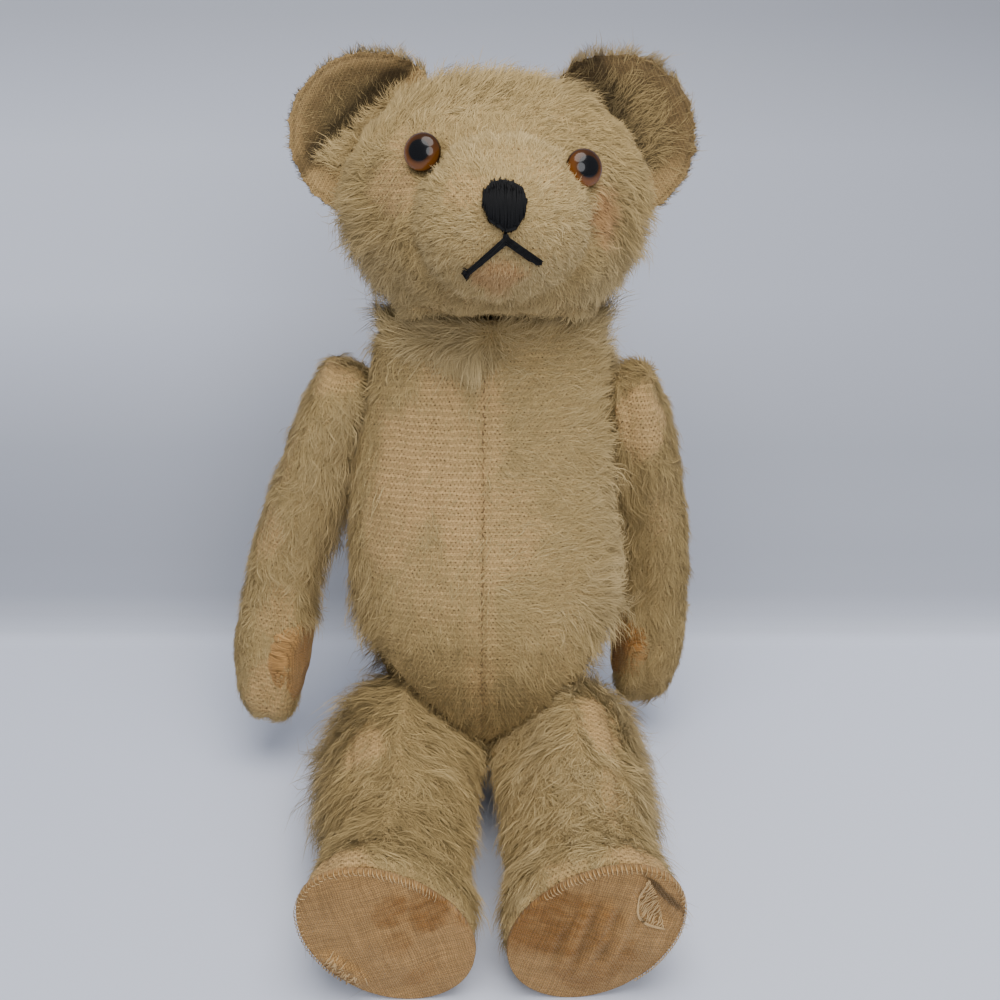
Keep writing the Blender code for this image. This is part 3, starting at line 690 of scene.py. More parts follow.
def make_sweep():
    """A floor that turns up into a leaning wall close behind the bear."""
    profile = [(SWEEP_FRONT, 0.0)]
    profile += [(SWEEP_BEND + SWEEP_RADIUS * math.sin(turn), SWEEP_RADIUS * (1 - math.cos(turn)))
                for turn in np.linspace(0, math.pi / 2 - SWEEP_LEAN, 14)]
    y, z = profile[-1]
    profile.append((y + (SWEEP_TOP - z) * math.tan(SWEEP_LEAN), SWEEP_TOP))
    points = [(x, y, z) for y, z in profile for x in (-SWEEP_HALF_WIDTH, SWEEP_HALF_WIDTH)]
    faces = [(low, low + 1, low + 3, low + 2) for low in range(0, len(points) - 2, 2)]
    mesh = new_mesh("sweep", points, faces, smooth=False)
    mesh.materials.append(make_sweep_material())
    add_object("sweep", mesh)


make_camera()
make_world()
make_light("overhead", (0.10, -0.35, 1.35), (0, -0.02, 0.12), 1.1, 17.3, (1.0, 0.98, 0.95))
make_light("window", (0.35, -1.35, 0.95), (0, 0, 0.15), 1.0, 12.0, (0.97, 0.98, 1.0))
make_sweep()


# ---------------------------------------------------------------- pile and thread

def scatter(mesh, space, count, density, rng):
    """Places on a skin, more of them where the pile is dense, and the ways they face."""
    points, normals, corners = read_vertices(mesh), read_normals(mesh), read_triangles(mesh)
    first, second, third = (points[corners[:, k]] for k in range(3))
    cross = np.cross(second - first, third - first)
    middles = local(space, (first + second + third) / 3)
    weight = np.linalg.norm(cross, axis=1) * density(middles, turned_in(space, unit(cross)))
    chosen = corners[rng.choice(len(corners), count, p=weight / weight.sum())]
    shares = rng.dirichlet((1, 1, 1), count)[:, :, None]
    roots = (points[chosen] * shares).sum(axis=1)
    facing = unit((normals[chosen] * shares).sum(axis=1))
    return local(space, roots), turned_in(space, facing)


def lock_of_each(roots, count, rng):
    """The strand that each strand's lock gathers round."""
    leaders = rng.choice(len(roots), count, replace=False)
    tree = KDTree(count)
    for leader in leaders:
        tree.insert(roots[leader], int(leader))
    tree.balance()
    return np.array([tree.find(root)[1] for root in roots])


def varied(base, mood, by_lock, by_strand, rng):
    """A value that differs from lock to lock, by the lock's mood, and from strand to strand."""
    return base + by_lock * mood + by_strand * rng.normal(size=len(mood))


def grow(name, skin, body, count, pile, seed, steps=2, lock=16, width=0.26, gather=0.2, wander=0.3,
         glow=0.0, stain=None):
    """Locks of mohair on a skin. pile gives the density, length, way, lift and paleness of the pile at places
    on it, from those places and the ways they face."""
    rng = np.random.default_rng(seed)
    roots, facing = scatter(skin.data, body, count, lambda *args: pile(*args)[0], rng)
    _, length, way, lift, pale = pile(roots, facing)
    leader = lock_of_each(roots, max(count // lock, 2), rng)
    mood = rng.normal(size=(count, 4))[leader]
    shares = np.linspace(0, 1, steps + 1)
    line, side = strand_lines(roots, facing, (length, way, lift), mood, wander, shares, rng)
    for step, share in enumerate(shares):
        line[:, step] += (line[leader, step] - line[:, step]) * gather * share ** 1.2
    roll = rng.uniform(-1.1, 1.1, count)[:, None]
    across = side * np.cos(roll) + facing * np.sin(roll)
    points = ribbon_points(body, line, across, width, shares, rng)
    tint = strand_tint(np.append(np.repeat(shares[:-1], 2), 1.0), pale, mood[:, 0], rng)
    if stain:
        tint += (COLOURS["rust"] - tint) * stain(roots)[:, None, None] * 0.5
    mesh = ribbon_mesh(name, points, count, steps)
    normals = strand_normals(body, line, across, facing, glow)
    mesh.normals_split_custom_set_from_vertices(turned_out(body, normals.reshape(-1, 3)))
    write_attribute(mesh, "tint", tint.reshape(-1, 3))
    return link(name, mesh, body, FUR)


def strand_lines(roots, facing, growth, mood, wander, shares, rng):
    """The line of each strand from root to tip, bending as it rises, and the way to its side."""
    length, way, lift = growth
    length = length * np.clip(varied(1, mood[:, 0], 0.16, 0.16, rng), 0.4, 1.6)
    length = length * np.where(rng.random(len(roots)) < WISPS, 1.45, 1.0)
    way = unit(way - facing * (way * facing).sum(axis=1, keepdims=True))
    yaw = varied(0, mood[:, 1], 0.26, 0.27, rng)[:, None]
    way = way * np.cos(yaw) + np.cross(facing, way) * np.sin(yaw)
    side = np.cross(facing, way)
    lift = np.clip(lift * varied(1, mood[:, 2], 0.30, 0.2, rng), 0.08, 1.2)
    bend = varied(0, mood[:, 3], wander, 0.12, rng)
    line = []
    for share in shares:
        rise = lift * share * (1.45 - 0.8 * share)
        line.append(roots + length[:, None] * (way * (share - 0.15 * share ** 2) + facing * rise[:, None]
                                               + side * (bend * share ** 2)[:, None]))
    return np.stack(line, axis=1), side


def ribbon_points(body, line, across, width, shares, rng):
    """Ribbons that taper along their lines, in metres and above the floor."""
    taper = np.sqrt(1 - shares[:-1] ** 2) * width / 2
    half = across[:, None, :] * taper[None, :, None] * rng.uniform(0.7, 1.3, len(line))[:, None, None]
    rows = np.stack([line[:, :-1] - half, line[:, :-1] + half], axis=2).reshape(len(line), -1, 3)
    points = world(body, np.concatenate([rows, line[:, -1:]], axis=1).reshape(-1, 3))
    points[:, 2] = np.maximum(points[:, 2], 0.2 * MM)
    return points


def strand_normals(body, line, across, facing, glow):
    """The ways that strands are lit from: mostly as the cloth faces, but turned towards the open air above
    and in front, the more so where the cloth faces away from it."""
    tangent = unit(line[:, 1:] - line[:, :-1])
    tangent = np.concatenate([tangent, tangent[:, -1:]], axis=1)
    flat = unit(np.cross(across[:, None, :], tangent))
    flat *= np.sign((flat * facing[:, None, :]).sum(axis=2, keepdims=True) + 1e-6)
    up, open_way = (turned_in(body, np.array([way]))[0] for way in ((0.0, -0.25, 1.0), (0.0, -0.8, 0.6)))
    turned = facing @ open_way
    away = (np.clip(0.2 - turned, 0, 0.7) * blur_step(-0.85, -0.4, turned))[:, None, None]
    shown = unit(facing[:, None, :] * 0.80 * (1 - glow) + flat * 0.35 + up * 0.35
                 + open_way * (glow + 1.1 * away))
    return np.concatenate([np.repeat(shown[:, :-1], 2, axis=1), shown[:, -1:]], axis=1)


def strand_tint(share, pale, mood, rng):
    """Colours from root to tip: dusty at the root, pale at a clean tip. A negative pale darkens all of it,
    for painted shade and for heavy dust.
    """
    root, middle, tip = (np.array(COLOURS[name]) for name in ("pile_root", "pile", "pile_tip"))
    # painted shade and heavy dust: a negative pale darkens the whole strand
    dark = 1 + 0.75 * np.clip(pale, -1, 0)[:, None, None]
    pale = np.clip(varied(pale, mood, 0.10, 0.14, rng), 0, 1)[:, None, None]
    rise = blur_step(0.0, 0.75, share)[None, :, None]
    end = middle * (1 - pale) + tip * pale
    tint = (root * (1 - rise) + end * rise) * dark
    return tint * np.clip(varied(1, mood, 0.05, 0.11, rng), 0.6, 1.4)[:, None, None]


def ribbon_mesh(name, points, count, steps):
    """Narrow pointed ribbons of 2 * steps + 1 vertices each, with a cell of the bake map for each."""
    each = 2 * steps + 1
    faces = []
    for low in range(0, 2 * steps - 2, 2):
        faces += [(low, low + 3, low + 1), (low, low + 2, low + 3)]
    faces.append((2 * steps - 2, 2 * steps, 2 * steps - 1))
    corners = (np.array(faces)[None] + each * np.arange(count)[:, None, None]).reshape(-1)
    mesh = bpy.data.meshes.new(name)
    mesh.vertices.add(len(points))
    mesh.vertices.foreach_set("co", points.astype(np.float32).ravel())
    mesh.loops.add(len(corners))
    mesh.loops.foreach_set("vertex_index", corners.astype(np.int32))
    mesh.polygons.add(len(corners) // 3)
    mesh.polygons.foreach_set("loop_start", np.arange(0, len(corners), 3, dtype=np.int32))
    mesh.update(calc_edges=True)
    cells = math.ceil(math.sqrt(count))
    strand, place = corners // each, corners % each
    across = np.where(place == 2 * steps, 0.5, place % 2) * 0.6 + 0.2
    along = (place // 2) / steps * 0.8 + 0.1
    spread = np.stack([(strand % cells + across) / cells, (strand // cells + along) / cells], axis=1)
    mesh.uv_layers.new(name="OFBake").data.foreach_set("uv", spread.astype(np.float32).ravel())
    return mesh


def grow_coat(name, skin, body, long_count, fuzz_count, pile, seed, stain=None, **settings):
    """The long pile over a fine short fuzz."""
    def fuzz(places, facing):
        density, length, way, lift, pale = pile(places, facing)
        return np.maximum(density, 0.2), 0.55 * length + 0.8, way, lift * 1.3 + 0.1, pale - 0.1

    grow(name + "_fuzz", skin, body, fuzz_count, fuzz, seed + 500, steps=1, lock=8, gather=0.05, wander=0.35,
         stain=stain)
    grow(name + "_fur", skin, body, long_count, pile, seed, stain=stain, **settings)


def thread_mesh(name, runs, radius, sides=5):
    """Round threads along runs of points, in metres, with closed ends drawn in."""
    points, faces = [], []
    for run in runs:
        run = [Vector(point) for point in run]
        start = len(points)
        for index, middle in enumerate(run):
            ahead = (run[min(index + 1, len(run) - 1)] - run[max(index - 1, 0)]).normalized()
            side = ahead.orthogonal().normalized()
            up = ahead.cross(side)
            size = radius * MM * (0.55 if index in (0, len(run) - 1) else 1.0)
            points += [middle + (side * math.cos(turn) + up * math.sin(turn)) * size
                       for turn in np.linspace(0, 2 * math.pi, sides, endpoint=False)]
        for ring in range(len(run) - 1):
            faces += ring_faces(start + ring * sides, sides)
        faces.append(tuple(reversed(range(start, start + sides))))
        faces.append(tuple(range(len(points) - sides, len(points))))
    return new_mesh(name, points, faces)


def surface_tree(*meshes):
    points, faces = [], []
    for mesh in meshes:
        faces += (read_triangles(mesh) + len(points)).tolist()
        points += read_vertices(mesh).tolist()
    return BVHTree.FromPolygons(points, faces)


def landed(tree, body, x, z, raise_by):
    """Where a line from in front of a body meets the surface, a little above it; None past its edge."""
    direction = (SPACES[body].to_3x3() @ Vector((0, 1, 0))).normalized()
    found, normal = tree.ray_cast(SPACES[body] @ Vector((x, -150, z)), direction)[:2]
    return found + (normal if normal.dot(direction) < 0 else -normal) * raise_by * MM if found else None


def stitches(name, skin, body, marks, material, radius=0.2):
    """Short threads that lie on a skin. Each mark is a run of X and Z, and is raised in its middle."""
    tree = surface_tree(skin.data)
    runs = []
    for mark in marks:
        raised = np.sin(np.linspace(0, math.pi, len(mark))) * 0.35 + 0.05
        run = [landed(tree, body, x, z, rise) for (x, z), rise in zip(mark, raised)]
        if all(run):
            runs.append(run)
    return link(name, thread_mesh(name, runs, radius), body, material)


# ---------------------------------------------------------------- the body

def around(places, middle=(0, 0)):
    """The place on cloth wrapped round a form that runs along Z: how far round it, and how far up."""
    x, y = places[:, 0] - middle[0], places[:, 1] - middle[1]
    return rows_of(np.arctan2(x, -y) * np.median(np.hypot(x, y)), places[:, 2], 0)


def torso_seam(places, half_width):
    """1 along the front seam, fading to 0 over its half width."""
    return bell(places[:, 0] + 2 - 0.01 * places[:, 2], half_width) * (places[:, 1] < 0)


def torso_shape(places, facing):
    z = places[:, 2]
    pucker = np.sin(z / 2.1) * torso_seam(places, 5.0)
    collar = 1.9 * blur_step(203, 209, z) * blur_step(0.4, 0.8, facing[:, 2])
    lumps = 0.7 * ripple(places, 34, 11) + 0.3 * ripple(places, 12, 12)
    return lumps - 0.9 * torso_seam(places, 1.6) + 0.18 * pucker + collar


def torso_tint(places, facing):
    # painted shade, darker towards the bottom of the belly; the front seam's line is darker too
    shade = (1 - 0.18 * torso_seam(places, 0.8)) * (1 - 0.22 * blur_step(100, 55, places[:, 2]))
    return ground_tint(places, spots(places, BARE["torso"]), 0.35, 0.75, 0.4) * shade[:, None]


def torso_pile(places, facing):
    """Combed across on the bear's left and down on its right, and long at the sides and under the chin. Its
    paleness carries painted shade low on the belly and painted light under the chin and at the collar's brim.
    """
    x, y, z = places.T
    bare = spots(places, BARE["torso"]) * (facing[:, 1] < 0.3)
    combed = blur_step(-2, 12, x) * (y < 20)
    edge = blur_step(28, 50, x) * (y < 10)
    other_edge = blur_step(-34, -50, x) * (y < 10)
    flank = blur_step(34, 50, np.abs(x)) * blur_step(120, 85, z)
    chin = near(places, (-10, -28, 206), (18, 16, 16))
    collar, brim, low = blur_step(190, 206, z), blur_step(199, 207, z), blur_step(100, 62, z)
    length = (4.6 + 0.8 * combed + 4.5 * edge + 3.0 * other_edge + 3.5 * chin + 2.0 * low + 2.0 * (y > 5)
              + 2.5 * collar)
    length = length * (1 - 0.35 * bare) + 4.0 * brim + 2.5 * flank
    rise = 0.55 * blur_step(150, 200, z) - 0.75 * blur_step(120, 60, z) - 0.1
    way = np.where(((combed > 0.3) & (chin < 0.3))[:, None], rows_of(1.0 - 0.6 * low, 0.25 * edge, rise),
                   rows_of(-0.25 + 0.02 * x * low, 0, -1))
    way += 0.38 * swirl(places, 24, 31) + brim[:, None] * (unit(places * (1, 1, 0)) + (0, 0, 1.6))
    lift = 0.24 + 0.16 * edge + 0.15 * chin + 0.30 * brim + 0.3 * flank
    row = np.sin(2 * math.pi * z / (2 * ROW_PITCH) + 0.9 * ripple(places, 18, 33)) * (y < 10)
    # painted shade darkens the pile low on the belly, and painted light makes it paler under the chin and at
    # the collar's brim
    pale = (0.42 + 0.35 * edge - 0.45 * dirt(places) - 0.75 * low + 0.1 * combed + 0.22 * row + 1.2 * chin
            + 0.4 * brim)
    density = (1.02 - bare) * (1 + 0.35 * row) * (1 + 1.5 * chin + 0.6 * edge)
    return density * (1 - 0.5 * torso_seam(places, 1.0)), length, way, lift, pale


def tuft_pile(places, facing):
    """A long lock left under the chin, hanging down the chest."""
    where = near(places, (-8, -30, 203), (7, 12, 6))
    way = rows_of(0.12 + 0.1 * ripple(places, 9, 36), -0.2, -1)
    return where ** 2 + 1e-6, 20 + 4 * ripple(places, 6, 37), way, 0.14 + 0 * where, 0.7 - 0.3 * dirt(places)


def torso_seam_marks():
    rng = np.random.default_rng(151)
    marks = []
    for height in np.arange(44, 206, 3.3):
        middle = -2 + 0.01 * height + rng.uniform(-0.35, 0.35)
        lean, half = rng.uniform(-0.5, 0.5), rng.uniform(0.6, 1.1)
        marks.append([(middle + lean, height - half), (middle, height), (middle - lean, height + half)])
    return marks


# ---------------------------------------------------------------- arms and legs

def joint_reach(side, facing):
    """Brings the flat face at a limb's joint out against the body."""
    return 1.9 * blur_step(-0.5, -0.85, facing[:, 0] * side)


def make_arm(name, side):
    body = name + "_arm"

    def shape(places, facing):
        x, y, z = places.T
        outer = blur_step(12, 24, x * side)
        slope = 3.0 * outer * blur_step(4, 20, z) * (side > 0)
        palm = 2.2 * blur_step(-80, -100, z) * blur_step(-0.2, -0.7, facing[:, 0] * side)
        lumps = 0.5 + 0.9 * outer + 0.7 * ripple(places, 26, 41) + 0.35 * ripple(places, 9, 42)
        return lumps + 1.76 * blur_step(-85, -115, z) + palm - slope + joint_reach(side, facing)

    def tint(places, facing):
        return ground_tint(places, spots(places, BARE[body]))

    def pile(places, facing):
        x, y, z = places.T
        bare = spots(places, BARE[body])
        inner = blur_step(12, 0, x * side) * (y < 14)
        middle = blur_step(-20, -45, z) * blur_step(-105, -85, z)
        paw = blur_step(-84, -102, z)
        length = (7.0 + 5.0 * inner * (1 - paw) + 2.5 * inner * middle) * (1 - 0.55 * bare)
        length = length * (1 - (0.4 if side < 0 else 0.2) * paw)
        way = rows_of(-0.25 * side * inner, -0.15, -1) + 0.4 * swirl(places, 24, 51 + side)
        clean = 0.45 if side < 0 else 0.0
        pale = clean + 0.3 * inner - 0.3 * dirt(places)
        return 1.02 - bare, length, way, 0.32 + 0.14 * inner + 0.25 * inner * middle, pale

    def weave(places):
        return around(places, (14 * side, -3))

    skin = make_skin(body + "_ground", body + "_cover", body, 1.9, shape, tint, weave, rounds=10)
    grow_coat(body, skin, body, 15500, 22000, pile, 60 + side, width=0.23, gather=0.25)


def make_leg(name, side):
    body = name + "_leg"
    down = turned_in(body, np.array([[0.0, 0.0, -1.0]]))[0]

    def seam(places, half_width):
        x, y, z = places.T
        return bell(x - LEG_SEAM[side], half_width) * (z > 10) * (y > -104)

    def shape(places, facing):
        x, y, z = places.T
        lumps = 0.9 * ripple(places, 28, 71) + 0.35 * ripple(places, 10, 72)
        haunch = (2.2 if side < 0 else 0.6) * blur_step(24, 44, x * side) * blur_step(-70, -30, y)
        foot = 0.9 * blur_step(-85, -98, y)
        return lumps + haunch + foot - 0.9 * seam(places, 1.6) + joint_reach(side, facing)

    def tint(places, facing):
        cloth = ground_tint(places, spots(places, BARE[body]), 0.3)
        return cloth * (1 - 0.25 * seam(places, 1.0))[:, None]

    def pile(places, facing):
        x, y, z = places.T
        bare = spots(places, BARE[body])
        outer, sole_edge = blur_step(26, 46, x * side), blur_step(-96, -108, y)
        thigh = blur_step(-70, -35, y) * np.maximum(outer, blur_step(18, 30, z) * blur_step(-30, -5, y))
        thigh = thigh * (1.0 if side < 0 else 0.7)
        length = (9.5 + 1.5 * ripple(places, 18, 73)) * (1 - 0.75 * bare)
        length = length * (1 - np.where(z > 0, 0.45, 0.7) * sole_edge) + 1.0 * outer + 3.5 * thigh
        comb = down * 0.75 + np.array((0.15 if side < 0 else -0.45, -0.75, 0))
        way = comb + 0.6 * swirl(places, 22, 74 + side)
        clean = 0.25 if side < 0 else 0.75
        pale = clean - 0.45 * dirt(places) + 0.15 * ripple(places, 14, 76) + 0.3 * outer
        off_sole = 1 - blur_step(-108.5, -109.8, y) * (facing[:, 1] < -0.5)
        density = (1.02 - bare) * off_sole * (1 - 0.7 * seam(places, 1.0)) * (1 + 0.5 * thigh)
        lift = (0.32 + 0.10 * outer + 0.34 * thigh) * (1 - 0.6 * sole_edge)
        return density, length, way, lift, pale

    def weave(places):
        x, y, z = places.T
        return around(np.stack([x, -z, y], axis=1), (27 * side, 0))

    skin = make_skin(body + "_ground", body + "_cover", body, 2.1, shape, tint, weave, rounds=10)
    grow_coat(body, skin, body, 31000, 28000, pile, 80 + side, lock=10, width=0.20, gather=0.22)


# ---------------------------------------------------------------- head

def muzzle_share(places):
    return 1 - blur_step(27, 44, np.linalg.norm((places - MUZZLE) * (1, 0.8, 1), axis=1))


def rusty(places):
    return spots(places, RUSTY)


def head_shape(places, facing):
    x, y, z = places.T
    muzzle = muzzle_share(places)
    pucker = near(places, (-15, -73, 2), (9, 9, 9)) * np.sin(x / 1.1 + z / 2.0)
    crease = 2.6 * bell(muzzle - 0.35, 0.3) * blur_step(34, 18, z)
    chin = 1.9 * blur_step(-0.4, -0.8, facing[:, 2]) * blur_step(-40, -44, z) * (y > -30)
    jaw = 2.2 * blur_step(34, 50, np.abs(x)) * blur_step(6, -14, z)
    lumps = 0.8 * ripple(places, 30, 91) * (1 - 0.5 * muzzle) + 0.3 * ripple(places, 10, 92)
    lumps += 1.7 * spots(places, PULLED_FLAT) + 0.8 * blur_step(28, 42, z)
    return lumps + 0.35 * pucker - crease + chin - jaw


def head_tint(places, facing):
    cloth = ground_tint(places, spots(places, BARE["head"]), 0.35, 0.7)
    return cloth + (np.array(COLOURS["rust"]) - cloth) * rusty(places)[:, None] * 0.6


def head_pile(places, facing):
    """Combed away from the muzzle and down, short on the muzzle and long on the jowls and the crown, with
    painted shade in the crease round the muzzle.
    """
    x, y, z = places.T
    bare = spots(places, BARE["head"]) * 0.9
    muzzle = muzzle_share(places)
    forehead = blur_step(14, 30, z) * (y < 5)
    jowl = blur_step(22, 44, np.abs(x)) * blur_step(5, -25, z)
    crown = blur_step(30, 44, z)
    flank = blur_step(36, 50, np.abs(x)) * (z < 30)
    under_ear = blur_step(38, 46, np.abs(x)) * bell(z + 4, 11) * (y < 15)
    length = 5.5 - 0.8 * forehead + 3.5 * jowl + 2.0 * (y > 5) + 4.5 * crown + 0.5 * flank + 4.5 * under_ear
    length = (length * (1 - muzzle) + 2.8 * muzzle) * (1 - 0.4 * bare)
    length = length * (1 - 0.15 * blur_step(-34, -44, z) * (y < -20)) * (1 - 0.5 * spots(places, PULLED_FLAT))
    way = unit(places - MUZZLE) + rows_of(0.9 * forehead, 0, -0.75 * (1 - muzzle) * (1 - forehead))
    way += (0.5 - 0.3 * muzzle)[:, None] * swirl(places, 22, 93)
    lift = 0.30 + 0.35 * muzzle + 0.12 * jowl + 0.45 * crown + 0.12 * flank + 0.35 * under_ear
    # painted shade in the crease round the muzzle
    ring = bell(muzzle - 0.3, 0.25) * blur_step(34, 18, z)
    pale = 0.45 + 0.35 * muzzle + 0.45 * jowl - 0.45 * dirt(places) - 0.5 * ring
    return (1.02 - bare) * (1 + 0.9 * muzzle), length, way, lift, pale


# ---------------------------------------------------------------- ears

def make_ear(name, side):
    def shares(places):
        """Places as shares of the ear: along its seam, out from it, and towards its rim."""
        mirrored = places * (side, 1, 1) - EAR_MIDDLE
        along = mirrored @ (math.cos(EAR_TILT), 0, -math.sin(EAR_TILT)) / EAR_HALF_CHORD
        out = mirrored @ (math.sin(EAR_TILT), 0, math.cos(EAR_TILT)) / EAR_HEIGHT
        return along, out, np.hypot(along, np.maximum(out, 0))

    def shape(places, facing):
        hem = bell(shares(places)[2] - 0.90, 0.02) * (facing[:, 1] < 0)
        return 0.5 * ripple(places, 16, 101 + side) + 0.2 * ripple(places, 6, 102) - 0.5 * hem

    def shaded(along, out):
        """Where the cup of the ear lies in its own shade."""
        if side > 0:
            return blur_step(0.46, 0.04, out) * blur_step(0.62, 0.1, along)
        depth = out - 0.31 - 0.32 * along
        return bell(depth, np.where(depth > 0, 0.16, 0.08))

    def overgrown(along, out):
        """Where the head's own fur grows up over the right ear's foot."""
        return blur_step(0.28, 0.20, out - 0.32 * along) * blur_step(0.62, 0.5, along) * (side < 0)

    def flap(along, out):
        """The bare lower lobe."""
        return blur_step(0.45, 0.65, along) * blur_step(0.75, 0.4, out)

    def bare(along, out, rim):
        return np.clip(blur_step(0.55, 0.72, rim) + flap(along, out), 0, 1) * 0.98

    def tint(places, facing):
        along, out, rim = shares(places)
        inside = blur_step(0.2, -0.2, facing[:, 1])
        # painted shade in the cup of the ear: less on the lobe and towards the rim band, none where the
        # head's fur grows over it
        deep, less, band_less = (0.62, 0.42, 0.6) if side < 0 else (0.70, 0.38, 0.12)
        cup = (deep - less * flap(along, out)) * (1 - band_less * blur_step(0.74, 0.88, rim))
        hem = 0.35 * bell(rim - 0.90, 0.014) * inside
        dark = 1 - inside * np.clip(cup + 0.5 * shaded(along, out), 0, 0.88) * (1 - overgrown(along, out))
        return ground_tint(places, bare(along, out, rim), 0.25, 0.6) * (dark * (1 - hem))[:, None]

    def pile(places, facing):
        along, out, rim = shares(places)
        inside = facing[:, 1] < 0
        foot = overgrown(along, out) * inside
        sparse, inner_length, back_length = (0.96, 3.5, 5.5) if side < 0 else (0.82, 6.0, 7.0)
        worn = bare(along, out, rim)
        thin = np.where(inside, np.maximum(worn, sparse * (1 - foot)), 0.1 * worn)
        away, up = 0.55 * math.sin(EAR_TILT) + 0.6 * along, 0.7 * math.cos(EAR_TILT) - 0.5 * along
        way = rows_of(side * away, 0, up) + 0.45 * swirl(places, 14, 103)
        back_length = back_length * (1 - 0.6 * blur_step(-0.45, 0.05, along + 0.3 * (side < 0)))
        length = np.where(inside, inner_length + 4.0 * foot, back_length)
        # painted shade darkens the fur inside the cup, but for the head's fur that grows over its foot
        pale = np.where(inside, -0.3 - 0.7 * shaded(along, out) * (1 - foot) + 0.75 * foot, 0.3)
        return 1.02 - thin, length, way, 0.25 + 0.2 * foot + 0.07 * ~inside, pale - 0.2 * dirt(places)

    def weave(places):
        along, out, _ = shares(places)
        return rows_of(along * EAR_HALF_CHORD, out * EAR_HEIGHT, 0) * 1.7

    skin = make_skin(name + "_ear_cloth", name + "_ear", "head", 1.4, shape, tint, weave,
                     depth=0.4, rounds=5, hollow=False)
    grow(name + "_ear_fur", skin, "head", 9500, pile, 110 + side, width=0.2, gather=0.1, glow=0.2)


# ---------------------------------------------------------------- eyes

def eye_space(name, side):
    """The glass's own space: X looks out of its base's middle."""
    points = local("head", read_vertices(frame["nodes"][name + "_eye"].data))
    look = Vector((side * EYE_LOOK.x, EYE_LOOK.y, EYE_LOOK.z)).normalized()
    depth = points @ look
    base = Vector(points[depth < depth.min() + 0.05].mean(axis=0))
    up = (Vector((0, 0, 1)) - look * look.z).normalized()
    rotation = Matrix((look, up.cross(look), up)).transposed().to_4x4()
    return SPACES["head"] @ Matrix.Translation(base) @ rotation


def eye_colour(out, turn):
    """Black pupil, amber that is lit through on its lower side, and a dark rim."""
    pupil = 1 - blur_step(0.53, 0.585, out)
    lit = 0.5 - 0.5 * math.sin(turn + 0.4)
    amber = np.array((0.122, 0.038, 0.004)) * (0.3 + 1.3 * lit * blur_step(0.5, 0.8, out))
    amber = amber * (1 - 0.88 * blur_step(0.93, 1.0, out))
    return amber * (1 - pupil) + np.array((0.003, 0.003, 0.004)) * pupil


def make_eye(name, side):
    rings, sides = 32, 64
    place = eye_space(name, side)
    points, tint, faces = [], [], []
    for out in np.sin(np.linspace(0, math.pi / 2, rings)):
        height = EYE_HEIGHT * math.sqrt(max(1 - out ** 2, 0))
        for turn in np.linspace(0, 2 * math.pi, sides, endpoint=False):
            across = (EYE_RADIUS * out * math.cos(turn), EYE_RADIUS * out * math.sin(turn))
            points.append(place @ Vector((height, *across)))
            tint.append(eye_colour(out, turn))
    points.append(place @ Vector((0, 0, 0)))
    tint.append((0.05, 0.02, 0.01))
    for ring in range(rings - 1):
        faces += ring_faces(ring * sides, sides)
    last, back = (rings - 1) * sides, rings * sides
    faces += [(last + k, last + (k + 1) % sides, back) for k in range(sides)]
    mesh = new_mesh(name + "_eye_glass", points, faces)
    write_attribute(mesh, "tint", np.array(tint))
    obj = link(name + "_eye_glass", mesh, "head", EYE_GLASS)
    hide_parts(name + "_eye", name + "_eye_pupil")


# ---------------------------------------------------------------- nose and mouth

def outline_at(outline, across):
    """The lowest and highest of an outline at a place across it."""
    heights = []
    for (x0, z0), (x1, z1) in zip(outline, outline[1:] + outline[:1]):
        if min(x0, x1) <= across < max(x0, x1):
            heights.append(z0 + (z1 - z0) * (across - x0) / (x1 - x0))
    return (min(heights), max(heights)) if len(heights) > 1 else (0, 0)


def make_nose(head):
    """Upright satin stitches, side by side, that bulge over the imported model's nose."""
    rng = np.random.default_rng(120)
    tree = surface_tree(frame["nodes"]["nose_stitching"].data, head.data)
    runs = []
    for across in np.arange(-7.8, 8.2, 0.42):
        low, high = outline_at(NOSE, across)
        if high - low < 1:
            continue
        low, high = low - 0.5 * rng.random(), high + rng.uniform(-0.3, 1.2)
        lean = rng.uniform(-0.9, 0.9)
        bulge = 0.25 + 1.1 * (1 - (across / 8.4) ** 2)
        run = [landed(tree, "head", across + lean * (share - 0.5), high + (low - high) * share,
                      0.16 + bulge * math.sin(math.pi * share)) for share in np.linspace(0, 1, 9)]
        runs.append([point for point in run if point])
    link("nose_threads", thread_mesh("nose_threads", runs, 0.36), "head", BLACK_COTTON)


def make_mouth(head):
    """Long stitches: a stem, a thin right branch that ends in a knot of stitches, and a thick left branch."""
    rng = np.random.default_rng(121)
    tree = surface_tree(frame["nodes"]["mouth_stitching"].data, head.data)
    runs = []
    parts = ((STEM, 4, 0.5), (RIGHT_BRANCH, 3, 0.3), (LEFT_BRANCH, 6, 0.42), (KNOT, 5, 0.55))
    for path, strands, spread in parts:
        for strand in range(strands):
            aside = (strand - (strands - 1) / 2) * spread
            raised = 0.25 + 0.1 * strand % 2
            run = [landed(tree, "head", x + aside * 0.5, z + aside + rng.uniform(-0.15, 0.15), raised)
                   for x, z in path]
            runs.append([point for point in run if point])
    link("mouth_threads", thread_mesh("mouth_threads", runs, 0.3), "head", BLACK_COTTON)


# ---------------------------------------------------------------- foot and paw pads

